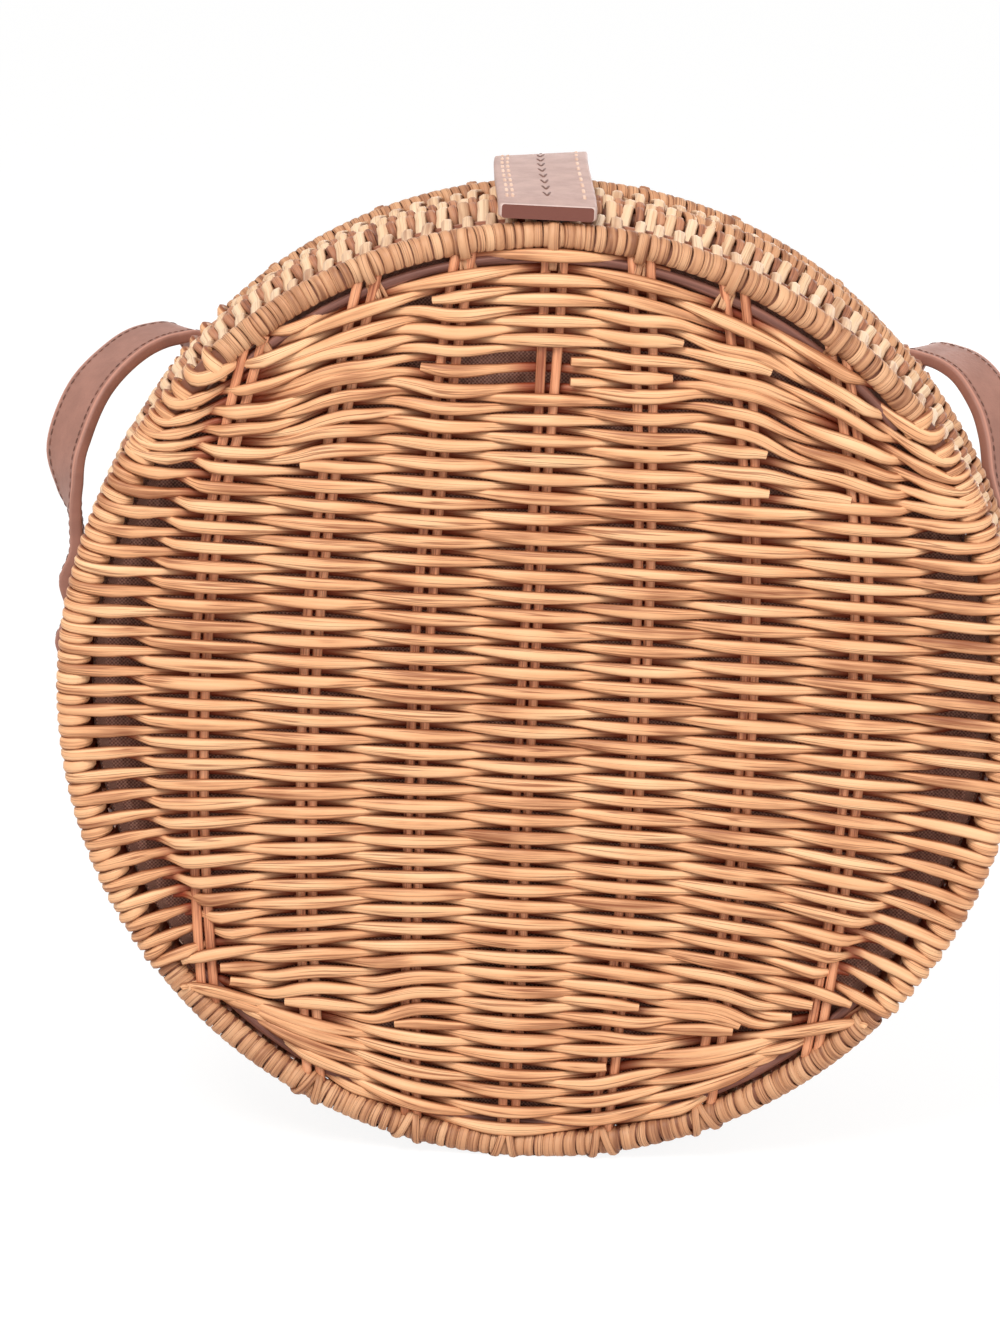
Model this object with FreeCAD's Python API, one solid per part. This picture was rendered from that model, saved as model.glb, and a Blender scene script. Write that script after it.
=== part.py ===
"""Round woven clamshell bag with a leather closure tab and a leather strap.

Millimetres. +Z is up, the front face looks along -Y, and the origin is on the
standing surface, under the middle of the split between the two halves.
"""
import math
import os

import FreeCAD, Part

V = FreeCAD.Vector

# Outer form of the bag
bag_radius = 105.5        # over the wrapped rim of each face
half_depth = 34.0         # from the split to the outside of a face rim
foot_flat = 0.5           # how deep the rims are flattened where they stand
lip_stand_out = 0.7       # how far the lips stand out past the rims
lip_gap = 0.5             # free gap between the two closed lips

# Face hoop, lip hoop and the cane wrapped round them
rim_rod_radius = 2.4
rim_wrap = 0.9
lip_rod_radius = 2.0
lip_wrap = 1.3

# Woven face and its stakes
panel_thickness = 2.4
panel_setback = 2.2       # from the front of the rim to the face of the weave
stake_radius = 1.15
stake_pairs = 7
stake_pitch = 24.0        # between the middles of neighbouring pairs
stake_pair_gap = 0.3      # between the two rods of a pair

# Wefts, where each passes over every other pair of stakes
weft_pitch = 2.07         # between the middles of neighbouring rows
weft_height = 2.2
weft_rise = 1.9           # over the face of the weave
weft_base = 19.0          # length at the face of the weave
weft_top = 9.0            # length of the flat over the stakes
weft_sink = 0.2           # how deep it is let into the weave
weft_rim_gap = 1.0        # to the binding of the rim

# Side wall
wall_thickness = 2.4
wall_setback = 1.5        # from the outside of the rim to the outside of the wall

# Fabric lining
lining_thickness = 0.8
lining_clearance = 0.3    # to the lips
lining_floor_clearance = 0.2
lining_edge = 0.6         # from the split to the edge of the lining

# Leather hinge strip across the bottom
hinge_width = 20.0
hinge_rim_clearance = 3.4 # end of the strip to the binding of the rim
hinge_thickness = 0.9
hinge_seat = 0.05         # strip to wall, and strip to standing surface
hinge_clearance = 0.3     # strip to the lips above it
hinge_open_gap = 0.7      # from the fold line to each half of the strip

# Closure tab
tab_width = 21.0
tab_layer = 1.5           # thickness of one of its two leather layers
tab_front_reach = 33.5    # from the split to the front end
tab_rear_overhang = 1.9   # the fold line behind the back of the rim
tab_rear_lift = 0.9       # underside over the rim at the back
tab_front_lift = 0.3      # underside over the rim at the front
tab_crown = 1.0           # rise of the middle over the straight line
tab_corner = 3.0          # from the tab's edges to the middle of a rounded corner
tab_corner_radius = 3.4   # a little more, so that the corners stay blunt
root_thickness = 2.6
root_length = 28.0
root_clearance = 0.3
root_rivet_spread = 12.0
root_rivet_drop = 21.0    # from the fold line down to the rivets
magnet_radius = 6.0
magnet_thickness = 1.6
catch_gap = 0.4           # catch to the underside of the tab
catch_seat = 0.4          # how deep the catch is let into the wall
catch_stem_radius = 1.5
catch_plate_radius = 4.0
catch_plate_thickness = 0.8

# Rivets
rivet_radius = 1.5
rivet_head_radius = 3.0
rivet_head = 1.1
rivet_washer = 0.8
rivet_clearance = 0.05

# Strap
strap_width = 15.0
strap_thickness = 2.8
strap_seat = 0.3          # strap end to wall
strap_tail_angle = -6.0   # degrees round the wall, from the level of the centre
strap_leave_angle = 6.0
strap_rivet_angles = (-3.5, 3.5)
strap_split_inset = 17.5  # from the outside of the rim to where the rear part begins
strap_split_gap = 0.3
strap_steps = 2           # sections between two points of the route

# Free part of one arch: out past the rim, behind the back rim, above the centre,
# and the turn of the strap's width away from the depth direction in degrees
strap_arch = [
    (1.2, -16.5, 20.0, 4.0),
    (4.0, -15.0, 31.0, 12.0),
    (5.8, -11.5, 43.0, 22.0),
    (4.2, -6.0, 54.0, 34.0),
    (-2.3, 1.5, 62.0, 44.0),
    (-11.5, 8.5, 64.5, 48.0),
    (-20.5, 12.0, 60.5, 40.0),
]
strap_hang_behind = 12.0  # middle of the hanging part behind the back rim
# Hanging part: sideways from the middle and above the centre, as shares of the
# bag's radius, and the turn of the width
strap_hang = [
    (0.725, 0.479, 28.0),
    (0.664, 0.341, 16.0),
    (0.616, 0.171, 8.0),
    (0.569, -0.038, 4.0),
    (0.512, -0.284, 2.0),
    (0.427, -0.531, 0.0),
    (0.303, -0.730, 0.0),
    (0.152, -0.844, 0.0),
    (0.0, -0.882, 0.0),
]

# Sizes that follow from those above
centre_height = bag_radius - foot_flat
rim_section = rim_rod_radius + rim_wrap
lip_section = lip_rod_radius + lip_wrap
rim_ring = bag_radius - rim_section
lip_ring = bag_radius + lip_stand_out - lip_section
rim_y = half_depth - rim_section
lip_y = lip_section + lip_gap / 2
wall_outer = bag_radius - wall_setback
wall_inner = wall_outer - wall_thickness
hinge_length = rim_y - rim_section - hinge_rim_clearance
wall_mid_y = (lip_y + lip_section + rim_y - rim_section) / 2
panel_face = half_depth - panel_setback
panel_back = panel_face - panel_thickness
lining_outer = lip_ring - lip_section - lining_clearance
lining_inner = lining_outer - lining_thickness
lining_floor = panel_back - lining_floor_clearance
margin = 20.0             # how far cutting blocks reach past what they cut
along_x = V(1, 0, 0)
along_y = V(0, 1, 0)
along_z = V(0, 0, 1)


def at(x, y, z):
    """A point given from the bag's centre, in the frame of the part."""
    return V(x, y, z + centre_height)


def ring(radius, section, y):
    """Round ring about the bag's axis, with a round section."""
    return Part.makeTorus(radius, section, at(0, y, 0), along_y)


def disc(radius, y0, y1):
    """Flat disc about the bag's axis between two depths."""
    low, high = sorted((y0, y1))
    return Part.makeCylinder(radius, high - low, at(0, low, 0), along_y)


def block(x0, x1, y0, y1, z0, z1):
    """Box between two depths, widths and heights over the standing surface."""
    low_y, high_y = sorted((y0, y1))
    return Part.makeBox(x1 - x0, high_y - low_y, z1 - z0, V(x0, low_y, z0))


def on_floor(shape):
    """The shape, cut flat where it meets the standing surface."""
    reach = bag_radius + margin
    return shape.cut(block(-reach, reach, -reach, reach, -margin, 0))


def hinge_notch():
    """Room in the lips for the hinge strip that passes under them."""
    wide = hinge_width / 2 + hinge_clearance
    deep = lip_y + lip_section + hinge_clearance
    top = hinge_seat + hinge_thickness + hinge_clearance
    return block(-wide, wide, -deep, deep, -margin, top)


def face_rim(side):
    """Rod of the face hoop, and the cane bound round it."""
    rod = ring(rim_ring, rim_rod_radius, side * rim_y)
    binding = ring(rim_ring, rim_section, side * rim_y).cut(rod)
    return rod, on_floor(binding)


def lip(side):
    """Rod of the lip hoop, and the cane bound round it, with room for the hinge strip."""
    rod = ring(lip_ring, lip_rod_radius, side * lip_y)
    binding = ring(lip_ring, lip_section, side * lip_y).cut(rod)
    return rod.cut(hinge_notch()), on_floor(binding.cut(hinge_notch()))


def stakes(side):
    """Upright rods in pairs, half sunk in the woven face and ending at the rim."""
    rim = ring(rim_ring, rim_section, side * rim_y)
    apart = stake_radius + stake_pair_gap / 2
    rods = []
    for pair in range(stake_pairs):
        middle = (pair - (stake_pairs - 1) / 2) * stake_pitch
        for x in (middle - apart, middle + apart):
            half = math.sqrt(rim_ring ** 2 - x ** 2)
            rod = Part.makeCylinder(stake_radius, 2 * half, at(x, side * panel_face, -half), along_z)
            rods.append(rod.cut(rim))
    return Part.makeCompound(rods)


def weft_bar(side, x, z):
    """One weft where it rises over the pair of stakes at a place of the face."""
    foot = side * (panel_face - weft_sink)
    crest = side * (panel_face + weft_rise)
    low = z - weft_height / 2
    corners = [
        at(x - weft_base / 2, foot, low),
        at(x - weft_top / 2, crest, low),
        at(x + weft_top / 2, crest, low),
        at(x + weft_base / 2, foot, low),
    ]
    return Part.Face(Part.makePolygon(corners + corners[:1])).extrude(along_z * weft_height)


def weft_bars(side):
    """Wefts over the stakes: every other row at each pair, clear of the rim and of the tab's root."""
    reach = rim_ring - rim_section - weft_rim_gap
    rows = int(reach / weft_pitch)
    bars = []
    for pair in range(stake_pairs):
        x = (pair - (stake_pairs - 1) / 2) * stake_pitch
        for row in range(-rows, rows + 1):
            z = row * weft_pitch
            under_root = side > 0 and abs(x) < tab_width / 2 and z > fold_z - root_length
            inside = math.hypot(abs(x) + weft_base / 2, abs(z) + weft_height / 2) < reach
            if (row + pair) % 2 == 0 and inside and not under_root:
                bars.append(weft_bar(side, x, z))
    return bars


def face_panel(side, rods):
    """Woven disc inside the rim with its wefts, grooved for the stakes."""
    panel = disc(rim_ring, side * panel_back, side * panel_face)
    panel = panel.cut(ring(rim_ring, rim_section, side * rim_y))
    return panel.multiFuse(weft_bars(side)).cut(rods)


def side_wall(side):
    """Woven band between the rim and the lip."""
    band = disc(wall_outer, side * lip_y, side * rim_y).cut(disc(wall_inner, side * lip_y, side * rim_y))
    band = band.cut(ring(rim_ring, rim_section, side * rim_y))
    return band.cut(ring(lip_ring, lip_section, side * lip_y))


def lining(side):
    """Fabric cup inside the wall and the face."""
    cup = disc(lining_outer, side * lining_edge, side * lining_floor)
    return cup.cut(disc(lining_inner, side * lining_edge, side * (lining_floor - lining_thickness)))


def hinge_strip(side):
    """One half of the leather strip under the lips, from the fold line to the wall."""
    wide = hinge_width / 2
    top = hinge_seat + hinge_thickness
    return block(-wide, wide, side * hinge_open_gap, side * hinge_length, hinge_seat, top)


# Line down the middle of the closed tab, as a circle through three points
tab_half = tab_layer
fold_y = half_depth + tab_rear_overhang
fold_z = bag_radius + tab_rear_lift + tab_half
front_z = bag_radius + tab_front_lift + tab_half
tab_chord = math.hypot(fold_y + tab_front_reach, fold_z - front_z)
tab_curve = tab_chord ** 2 / (8 * tab_crown) + tab_crown / 2
tab_slope = math.atan2(fold_z - front_z, fold_y + tab_front_reach)
tab_spread = math.asin(tab_chord / 2 / tab_curve)
tab_centre_y = (fold_y - tab_front_reach) / 2 + (tab_curve - tab_crown) * math.sin(tab_slope)
tab_centre_z = (fold_z + front_z) / 2 - (tab_curve - tab_crown) * math.cos(tab_slope)


def tab_point(radius, angle):
    """Point of the tab's section at a radius from its circle and an angle towards the back."""
    turn = angle - tab_slope
    y = tab_centre_y + radius * math.sin(turn)
    z = tab_centre_z + radius * math.cos(turn)
    return at(-tab_width / 2, y, z)


def tab_underside(y):
    """Height of the tab's underside over the bag's centre at a depth."""
    return tab_centre_z + math.sqrt((tab_curve - tab_half) ** 2 - (y - tab_centre_y) ** 2)


def tab_arc(radius, turns):
    """Arc of the tab's section through three angles."""
    return Part.Arc(*[tab_point(radius, a) for a in turns]).toShape()


def tab_line(radius0, radius1, turn):
    """Straight edge across the tab's section at one angle."""
    return Part.LineSegment(tab_point(radius0, turn), tab_point(radius1, turn)).toShape()


def tab_sheet(edges):
    """Leather of the tab's width with the given section, and with rounded front corners."""
    sheet = Part.Face(Part.Wire(edges)).extrude(along_x * tab_width)
    for side in (-1, 1):
        x = side * (tab_width / 2 - tab_corner)
        y = -tab_front_reach + tab_corner
        low_x, high_x = sorted((x, side * (tab_width / 2 + margin)))
        corner = block(low_x, high_x, y, -tab_front_reach - margin, 0, 2 * bag_radius + margin)
        pillar = Part.makeCylinder(tab_corner_radius, 2 * bag_radius + margin, V(x, y, 0), along_z)
        sheet = sheet.cut(corner.cut(pillar))
    return sheet


def closure_tab():
    """Upper leather, lower leather with its rounded fold, and the magnet between them."""
    inner, middle, outer = tab_curve - tab_half, tab_curve, tab_curve + tab_half
    to_front = (tab_spread, 0, -tab_spread)
    to_back = (-tab_spread, 0, tab_spread)
    upper = [
        tab_arc(middle, to_front),
        tab_line(middle, outer, -tab_spread),
        tab_arc(outer, to_back),
        tab_line(outer, middle, tab_spread),
    ]
    turn = tab_spread - tab_slope
    behind = V(0, math.cos(turn), -math.sin(turn)) * tab_half
    fold_tip = tab_point(middle, tab_spread) + behind
    fold = Part.Arc(tab_point(outer, tab_spread), fold_tip, tab_point(inner, tab_spread)).toShape()
    lower = [
        tab_arc(inner, to_front),
        tab_line(inner, middle, -tab_spread),
        tab_arc(middle, to_back),
        tab_line(middle, outer, tab_spread),
        fold,
    ]
    magnet_low = tab_underside(-wall_mid_y) + tab_half - magnet_thickness / 2
    magnet = Part.makeCylinder(magnet_radius, magnet_thickness, at(0, -wall_mid_y, magnet_low), along_z)
    return tab_sheet(upper).cut(magnet), tab_sheet(lower).cut(magnet), magnet


def tab_root():
    """Leather strip behind the back rim that the tab folds from, and its rivets."""
    top = fold_z - tab_half - root_clearance
    front = half_depth + root_clearance
    back = front + root_thickness
    strip = block(
        -tab_width / 2, tab_width / 2, front, back, centre_height + top - root_length, centre_height + top
    )
    rivets = []
    for x in (-root_rivet_spread / 2, root_rivet_spread / 2):
        z = fold_z - root_rivet_drop
        inner = panel_back + rivet_clearance
        shaft = Part.makeCylinder(rivet_radius, back - inner, at(x, inner, z), along_y)
        head = Part.makeCylinder(rivet_head_radius, rivet_head, at(x, back, z), along_y)
        washer = Part.makeCylinder(rivet_head_radius, rivet_washer, at(x, inner, z), along_y)
        rivets.append(shaft.fuse(head).fuse(washer).removeSplitter())
    rivets = Part.makeCompound(rivets)
    return strip.cut(rivets), rivets


def catch():
    """Steel catch let into the top of the front wall, and its back plate inside the wall."""
    y = -wall_mid_y
    top = tab_underside(y) - catch_gap
    seat = wall_outer - catch_seat
    plate_top = math.sqrt(wall_inner ** 2 - catch_plate_radius ** 2) - rivet_clearance
    plate_low = plate_top - catch_plate_thickness
    stem = Part.makeCylinder(catch_stem_radius, seat - plate_low, at(0, y, plate_low), along_z)
    button = Part.makeCylinder(magnet_radius, top - seat, at(0, y, seat), along_z)
    button = button.fuse(stem).removeSplitter()
    plate = Part.makeCylinder(catch_plate_radius, catch_plate_thickness, at(0, y, plate_low), along_z)
    return button, plate.cut(stem)


def strap_route():
    """Points down the middle of the strap from its left tail to its right tail, with the turn of its width."""
    seat = wall_outer + strap_seat + strap_thickness / 2
    left = []
    for share in (0.0, 1 / 3, 2 / 3, 1.0):
        angle = math.radians(strap_tail_angle + share * (strap_leave_angle - strap_tail_angle))
        left.append((V(-seat * math.cos(angle), wall_mid_y, seat * math.sin(angle)), 0.0))
    for out, behind, up, turn in strap_arch:
        left.append((V(-bag_radius - out, half_depth + behind, up), turn))
    for sideways, up, turn in strap_hang:
        middle = V(-sideways * bag_radius, half_depth + strap_hang_behind, up * bag_radius)
        left.append((middle, turn))
    right = [(V(-p.x, p.y, p.z), -turn) for p, turn in reversed(left[:-1])]
    return left + right


def strap_band():
    """The whole strap: a flat section carried along its route, turned as the route says."""
    route = strap_route()
    line = Part.BSplineCurve()
    line.interpolate([p for p, _ in route])
    places = [line.parameter(p) for p, _ in route]
    sections = []
    for i in range(len(route) - 1):
        last = i == len(route) - 2
        for step in range(strap_steps + (1 if last else 0)):
            share = step / strap_steps
            u = places[i] + share * (places[i + 1] - places[i])
            turn = math.radians(route[i][1] + share * (route[i + 1][1] - route[i][1]))
            middle = line.value(u)
            ahead = line.tangent(u)[0]
            across = V(-math.sin(turn), math.cos(turn), 0)
            across = (across - ahead * across.dot(ahead)).normalize() * (strap_width / 2)
            out = ahead.cross(across).normalize() * (strap_thickness / 2)
            corners = [middle + across + out, middle - across + out, middle - across - out, middle + across - out]
            corners = [at(p.x, p.y, p.z) for p in corners]
            sections.append(Part.makePolygon(corners + corners[:1]))
    print("strap length", round(line.length(), 1))
    return Part.makeLoft(sections, True, True)


def strap_rivets(side):
    """Rivets that hold one end of the strap on the side wall."""
    seat = wall_outer + strap_seat + strap_thickness
    rivets = []
    for angle in strap_rivet_angles:
        turn = math.radians(angle)
        out = V(side * math.cos(turn), 0, math.sin(turn))
        foot = out * (wall_inner - rivet_washer) + V(0, wall_mid_y, centre_height)
        length = seat - wall_inner + rivet_washer
        shaft = Part.makeCylinder(rivet_radius, length, foot, out)
        head = Part.makeCylinder(rivet_head_radius, rivet_head, foot + out * (length + rivet_clearance), out)
        washer = Part.makeCylinder(rivet_head_radius, rivet_washer - rivet_clearance, foot, out)
        stub = Part.makeCylinder(rivet_radius, rivet_head, foot + out * length, out)
        rivets.append(shaft.fuse([head, washer, stub]).removeSplitter())
    return Part.makeCompound(rivets)


def build():
    """Every piece of the bag, by name."""
    pieces = {}
    for name, side in (("front", -1), ("back", 1)):
        pieces[name + "_face_hoop"], pieces[name + "_face_binding"] = face_rim(side)
        pieces[name + "_lip_hoop"], pieces[name + "_lip_binding"] = lip(side)
        pieces[name + "_stakes"] = stakes(side)
        pieces[name + "_face_weave"] = face_panel(side, pieces[name + "_stakes"])
        pieces[name + "_side_wall"] = side_wall(side)
        pieces[name + "_lining"] = lining(side)
        pieces[name + "_hinge_strip"] = hinge_strip(side)
    pieces["tab_upper_leather"], pieces["tab_lower_leather"], pieces["tab_magnet"] = closure_tab()
    pieces["tab_root"], pieces["tab_root_rivets"] = tab_root()
    pieces["back_face_weave"] = pieces["back_face_weave"].cut(pieces["tab_root_rivets"])
    pieces["catch_button"], pieces["catch_back_plate"] = catch()
    pieces["front_side_wall"] = pieces["front_side_wall"].cut(pieces["catch_button"])

    strap = strap_band()
    split = bag_radius - strap_split_inset
    reach = bag_radius + margin * 2
    for name, side in (("left", -1), ("right", 1)):
        rivets = strap_rivets(side)
        x0, x1 = sorted((side * (split + strap_split_gap / 2), side * reach))
        arch = strap.common(block(x0, x1, -reach, reach, 0, 2 * reach))
        pieces["strap_" + name + "_arch"] = arch.cut(rivets)
        pieces["strap_" + name + "_rivets"] = rivets
        pieces["back_side_wall"] = pieces["back_side_wall"].cut(rivets)
    wide = split - strap_split_gap / 2
    pieces["strap_rear_loop"] = strap.common(block(-wide, wide, -reach, reach, 0, 2 * reach))
    return pieces


os.makedirs("parts", exist_ok=True)
for node, shape in build().items():
    shape.exportStep("parts/" + node + ".step")
    print(node, len(shape.Solids), round(shape.Volume, 1), shape.isValid())
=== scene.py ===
"""Looks of the round woven clamshell bag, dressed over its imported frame.

Shapes are worked out in millimetres from the bag's centre, as the part is, and put into
the meshes in metres. Side -1 is the front half, towards -Y, and side +1 is the back half.
"""
import math

import bpy
import numpy as np
from mathutils import Matrix, Vector


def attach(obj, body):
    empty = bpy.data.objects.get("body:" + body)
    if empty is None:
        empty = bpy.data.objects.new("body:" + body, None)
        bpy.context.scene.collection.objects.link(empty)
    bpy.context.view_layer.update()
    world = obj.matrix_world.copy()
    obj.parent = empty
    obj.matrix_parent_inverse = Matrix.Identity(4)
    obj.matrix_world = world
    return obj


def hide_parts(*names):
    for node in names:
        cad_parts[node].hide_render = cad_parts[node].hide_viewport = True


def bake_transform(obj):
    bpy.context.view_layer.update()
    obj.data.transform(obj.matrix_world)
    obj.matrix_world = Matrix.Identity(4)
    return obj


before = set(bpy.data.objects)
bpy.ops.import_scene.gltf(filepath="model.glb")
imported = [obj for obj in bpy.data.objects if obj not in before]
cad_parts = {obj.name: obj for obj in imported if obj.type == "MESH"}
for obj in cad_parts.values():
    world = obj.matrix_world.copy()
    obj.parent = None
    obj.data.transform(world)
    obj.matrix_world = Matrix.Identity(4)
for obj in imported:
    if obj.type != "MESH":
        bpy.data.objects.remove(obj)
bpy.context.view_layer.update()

# Sizes that the looks share with the frame
CENTRE_HEIGHT = 105.0
RIM_RING = 102.2
RIM_ROD = 2.4
RIM_Y = 30.7
LIP_RING = 102.9
LIP_Y = 3.55
LINING_RADIUS = 98.8
LINING_FLOOR = 27.4
LINING_EDGE = 0.7
STAKE_PITCH = 24.0
STAKE_RADIUS = 1.15
STAKE_APART = 1.3
# Share by which the two stakes of a pair are further apart at the top and bottom of the face, and share
# of their spacing that the pairs lose there
SPREAD_TOP = 0.45
SPREAD_LOW = 0.15
LEAN_TOP = 0.22
LEAN_LOW = 0.12
NOTCH_HALF = 10.3
NOTCH_TOP = 1.3
SIDES = {"front": -1, "back": 1}
# Where the random draws of each half, and of the cane on the back lip, start
SEEDS = {"front": 11, "back": 29}
LIP_CANE_SEED = 47
ALONG_Y = np.array([0, 1.0, 0])

# The weave of a face
PANEL_MID = 31.1
WEAVE_DEPTH = 1.9
ROW_COUNT = 95
ROW_PITCH = 2.07
WRAP_PITCH = 2.25
STRAND_THICK = 0.9
# Half width of a weft where it passes behind, and how much wider it is over a stake
WEFT_HALF = 1.06
WEFT_SWELL = 1.04
# Spread of the wefts' widths, and share of its width that a weft keeps at its tips
WEFT_SPREAD = 0.05
TIP_SHARE = 0.72
# How far a row's end goes round the section of the rim hoop, and the tail of an end that is cut
ROUND_RIM = math.radians(195)
CUT_TAIL = 0.6
# Half width of strands that go round the rim: beside none, least and most
RIM_HALF = 1.12
RIM_HALF_LEAST = 1.05
RIM_HALF_MOST = 1.75
RIM_CANE_THICK = 0.4
STAKE_PAIRS = 7
HOOP_PATH = RIM_ROD + 0.55
# A row that turns in behind ends this far before the rim and this much higher
TURN_IN_SHORT = 9.0
TURN_IN_LIFT = 1.1
# How far behind rows go where they turn in and where they slip behind the rim, in shares of the depth
TURN_IN_RISE = -1.05
SLIP_RISE = -0.6
# How far from the middle the lowest row, the row below SAG_ROW and the top row slip behind the rim
LOW_SLIP = 44.0
SAG_SLIP = 77.0
TOP_SLIP = 22.0
# Knots over the rim: radius of their path round the hoop, half width of the middle strand and its legs,
# and the radius and depth where each lies in over the face
KNOT_PATH = HOOP_PATH + 0.4
KNOT_HALF = 1.25
KNOT_LEG_HALF = 0.55
KNOT_IN = ((98.0, 31.3), (95.2, 31.9))
TIE_PATH = HOOP_PATH + 0.3
TIE_HALF = 0.95
INNER_HOOP = 97.7
INNER_HOOP_Y = 30.2
GRID = np.linspace(-104.0, 104.0, 417)
# The front weave lies a little turned and off the middle in its rim
WEAVE_TURN = math.radians(1.57)
STAKE_SHIFT = -2.5
# Rows that lead the others: height at the middle, rise to the left and to the right at a reach, and
# the power of the reach that it follows
BOTTOM_ROW, SAG_ROW, FAN_ROW, LEVEL_ROW = 0, 9, 22, 45
UPPER_LEVEL_ROW, LONG_TOP_ROW, TOP_ROW = 71, 93, 94
LEADING_ROWS = {
    BOTTOM_ROW: (-98.4, 29.3, 29.3, 70.0, 2.18),
    SAG_ROW: (-79.5, 12.0, 12.0, 77.0, 2.0),
    FAN_ROW: (-54.7, -7.5, -10.0, 80.0, 2.6),
    LEVEL_ROW: (-8.8, -0.5, -1.5, 100.0, 2.0),
    UPPER_LEVEL_ROW: (47.7, 1.2, -1.3, 90.0, 2.5),
    LONG_TOP_ROW: (95.4, -24.5, -26.0, 72.0, 1.87),
    TOP_ROW: (98.4, -29.3, -29.3, 70.0, 2.18),
}
# Rows that are cut short, and where their left and right ends are, in pairs of stakes from the middle:
# a whole number is an end hidden behind that pair, and nan an end that is not cut
CUT_ENDS = {
    7: (math.nan, 0.95), 10: (-1.0, 1.0), 11: (-1.13, 2.0), 12: (-1.0, 2.15), 13: (-2.0, 2.0),
    14: (-2.2, 2.2), 15: (-2.0, 1.2), 16: (-3.0, 3.0), 17: (-2.72, 2.68), 18: (-3.0, 3.0),
    19: (-2.8, 2.85), 20: (-3.0, 3.0), 21: (-3.15, 3.2),
    72: (-2.27, 2.15), 73: (-2.0, 2.95), 76: (-3.0, 2.15), 77: (-2.0, 2.0), 82: (-3.0, 3.0),
    83: (-1.25, 1.25), 86: (-3.0, 2.3), 87: (-2.0, 1.38), 90: (-1.0, 1.0), 91: (-1.25, 2.0),
}
BROKEN_ROWS = (82, 84)
BROKEN_SPAN = (-1.0, 0.27)

# The weave of a side wall: depth from the split and radius along its two kinds of strand
WALL_STRANDS = 288
WALL_HALF = 1.32
# Spread of the wall strands' half widths, angles and radii
WALL_HALF_SPREAD = 0.08
WALL_TURN_SPREAD = 0.0022
WALL_OUT_SPREAD = 0.12
WALL_ROD_RING = 102.6
WALL_ROD_Y = 17.1
PEG_LINE = [
    (29.6, 103.4), (26.5, 103.7), (22.5, 104.4), (18.8, 105.0), (16.6, 104.7), (14.9, 103.4),
    (13.8, 101.6), (13.2, 100.2),
]
LACE_LINE = [
    (29.4, 102.9), (26.0, 102.0), (22.0, 100.6), (18.5, 99.9), (15.5, 100.3), (12.5, 101.8), (9.6, 103.6),
]
LACE_PATH = 2.75
LACE_RING = LIP_RING + 0.4
# Stretch of the back lip that is bound with cane, in degrees from the right
CANE_ARC = (-55.0, 76.0)
CANE_STAND_OUT = 0.8
STANDING_GAP = 0.03
# Millimetres of grain by which strands of different tone start apart
GRAIN_SHIFT = 997


def smoothstep(low, high, x):
    """Share of the way from low to high, eased at both ends."""
    t = np.clip((x - low) / (high - low), 0, 1)
    return t * t * (3 - 2 * t)


def unit(v):
    """Vectors along the last axis at length one."""
    return v / np.maximum(np.linalg.norm(v, axis=-1, keepdims=True), 1e-12)


def catmull(points, per):
    """Catmull-Rom curve through points of any width, with per samples on each span."""
    p = np.asarray(points, float)
    ends = np.vstack([2 * p[0] - p[1], p, 2 * p[-1] - p[-2]])
    t = np.linspace(0, 1, per, endpoint=False)[:, None, None]
    a, b, c, d = ends[:-3], ends[1:-2], ends[2:-1], ends[3:]
    q = 2 * b + (c - a) * t + (2 * a - 5 * b + 4 * c - d) * t ** 2 + (3 * b - a - 3 * c + d) * t ** 3
    q = q.transpose(1, 0, 2).reshape(-1, p.shape[1]) / 2
    return np.vstack([q, p[-1:]])


def run_length(paths):
    """Length run along each path up to each of its points."""
    steps = np.linalg.norm(np.diff(paths, axis=-2), axis=-1)
    return np.concatenate([np.zeros_like(steps[..., :1]), np.cumsum(steps, -1)], -1)


def section_axes(paths, across, closed=False):
    """Directions across each path and out of it, square to it and to each other, at its points."""
    if closed:
        ahead = unit(np.roll(paths, -1, -2) - np.roll(paths, 1, -2))
    else:
        ahead = unit(np.gradient(paths, axis=-2))
    across = np.broadcast_to(across, paths.shape)
    across = unit(across - (across * ahead).sum(-1, keepdims=True) * ahead)
    return across, np.cross(ahead, across)


def put_mesh(name, points, polygons, uvs, smooth, attributes):
    """Mesh object at the origin from arrays.

    points are millimetres from the bag's centre, polygons is a list of index arrays with
    one row per face, uvs and smooth give a UV array and a flag for each of those arrays,
    and attributes are one number per point.
    """
    place = (np.asarray(points).reshape(-1, 3) + (0, 0, CENTRE_HEIGHT)) / 1000
    mesh = bpy.data.meshes.new(name)
    mesh.vertices.add(len(place))
    mesh.vertices.foreach_set("co", place.astype(np.float32).ravel())
    corners = np.concatenate([p.ravel() for p in polygons])
    totals = np.concatenate([np.full(len(p), p.shape[1]) for p in polygons])
    starts = np.concatenate([[0], np.cumsum(totals)[:-1]])
    mesh.loops.add(len(corners))
    mesh.loops.foreach_set("vertex_index", corners.astype(np.int32))
    mesh.polygons.add(len(totals))
    mesh.polygons.foreach_set("loop_start", starts.astype(np.int32))
    flags = np.concatenate([np.full(len(p), s) for p, s in zip(polygons, smooth)])
    mesh.polygons.foreach_set("use_smooth", flags.astype(bool))
    layer = mesh.uv_layers.new(name="UVMap")
    places = np.concatenate([u.reshape(-1, 2) for u in uvs])
    layer.data.foreach_set("uv", places.astype(np.float32).ravel())
    for key, values in attributes.items():
        held = mesh.attributes.new(key, "FLOAT", "POINT")
        held.data.foreach_set("value", np.asarray(values, np.float32).ravel())
    mesh.update(calc_edges=True)
    mesh.validate()
    piece = bpy.data.objects.new(name, mesh)
    bpy.context.scene.collection.objects.link(piece)
    return piece


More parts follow.
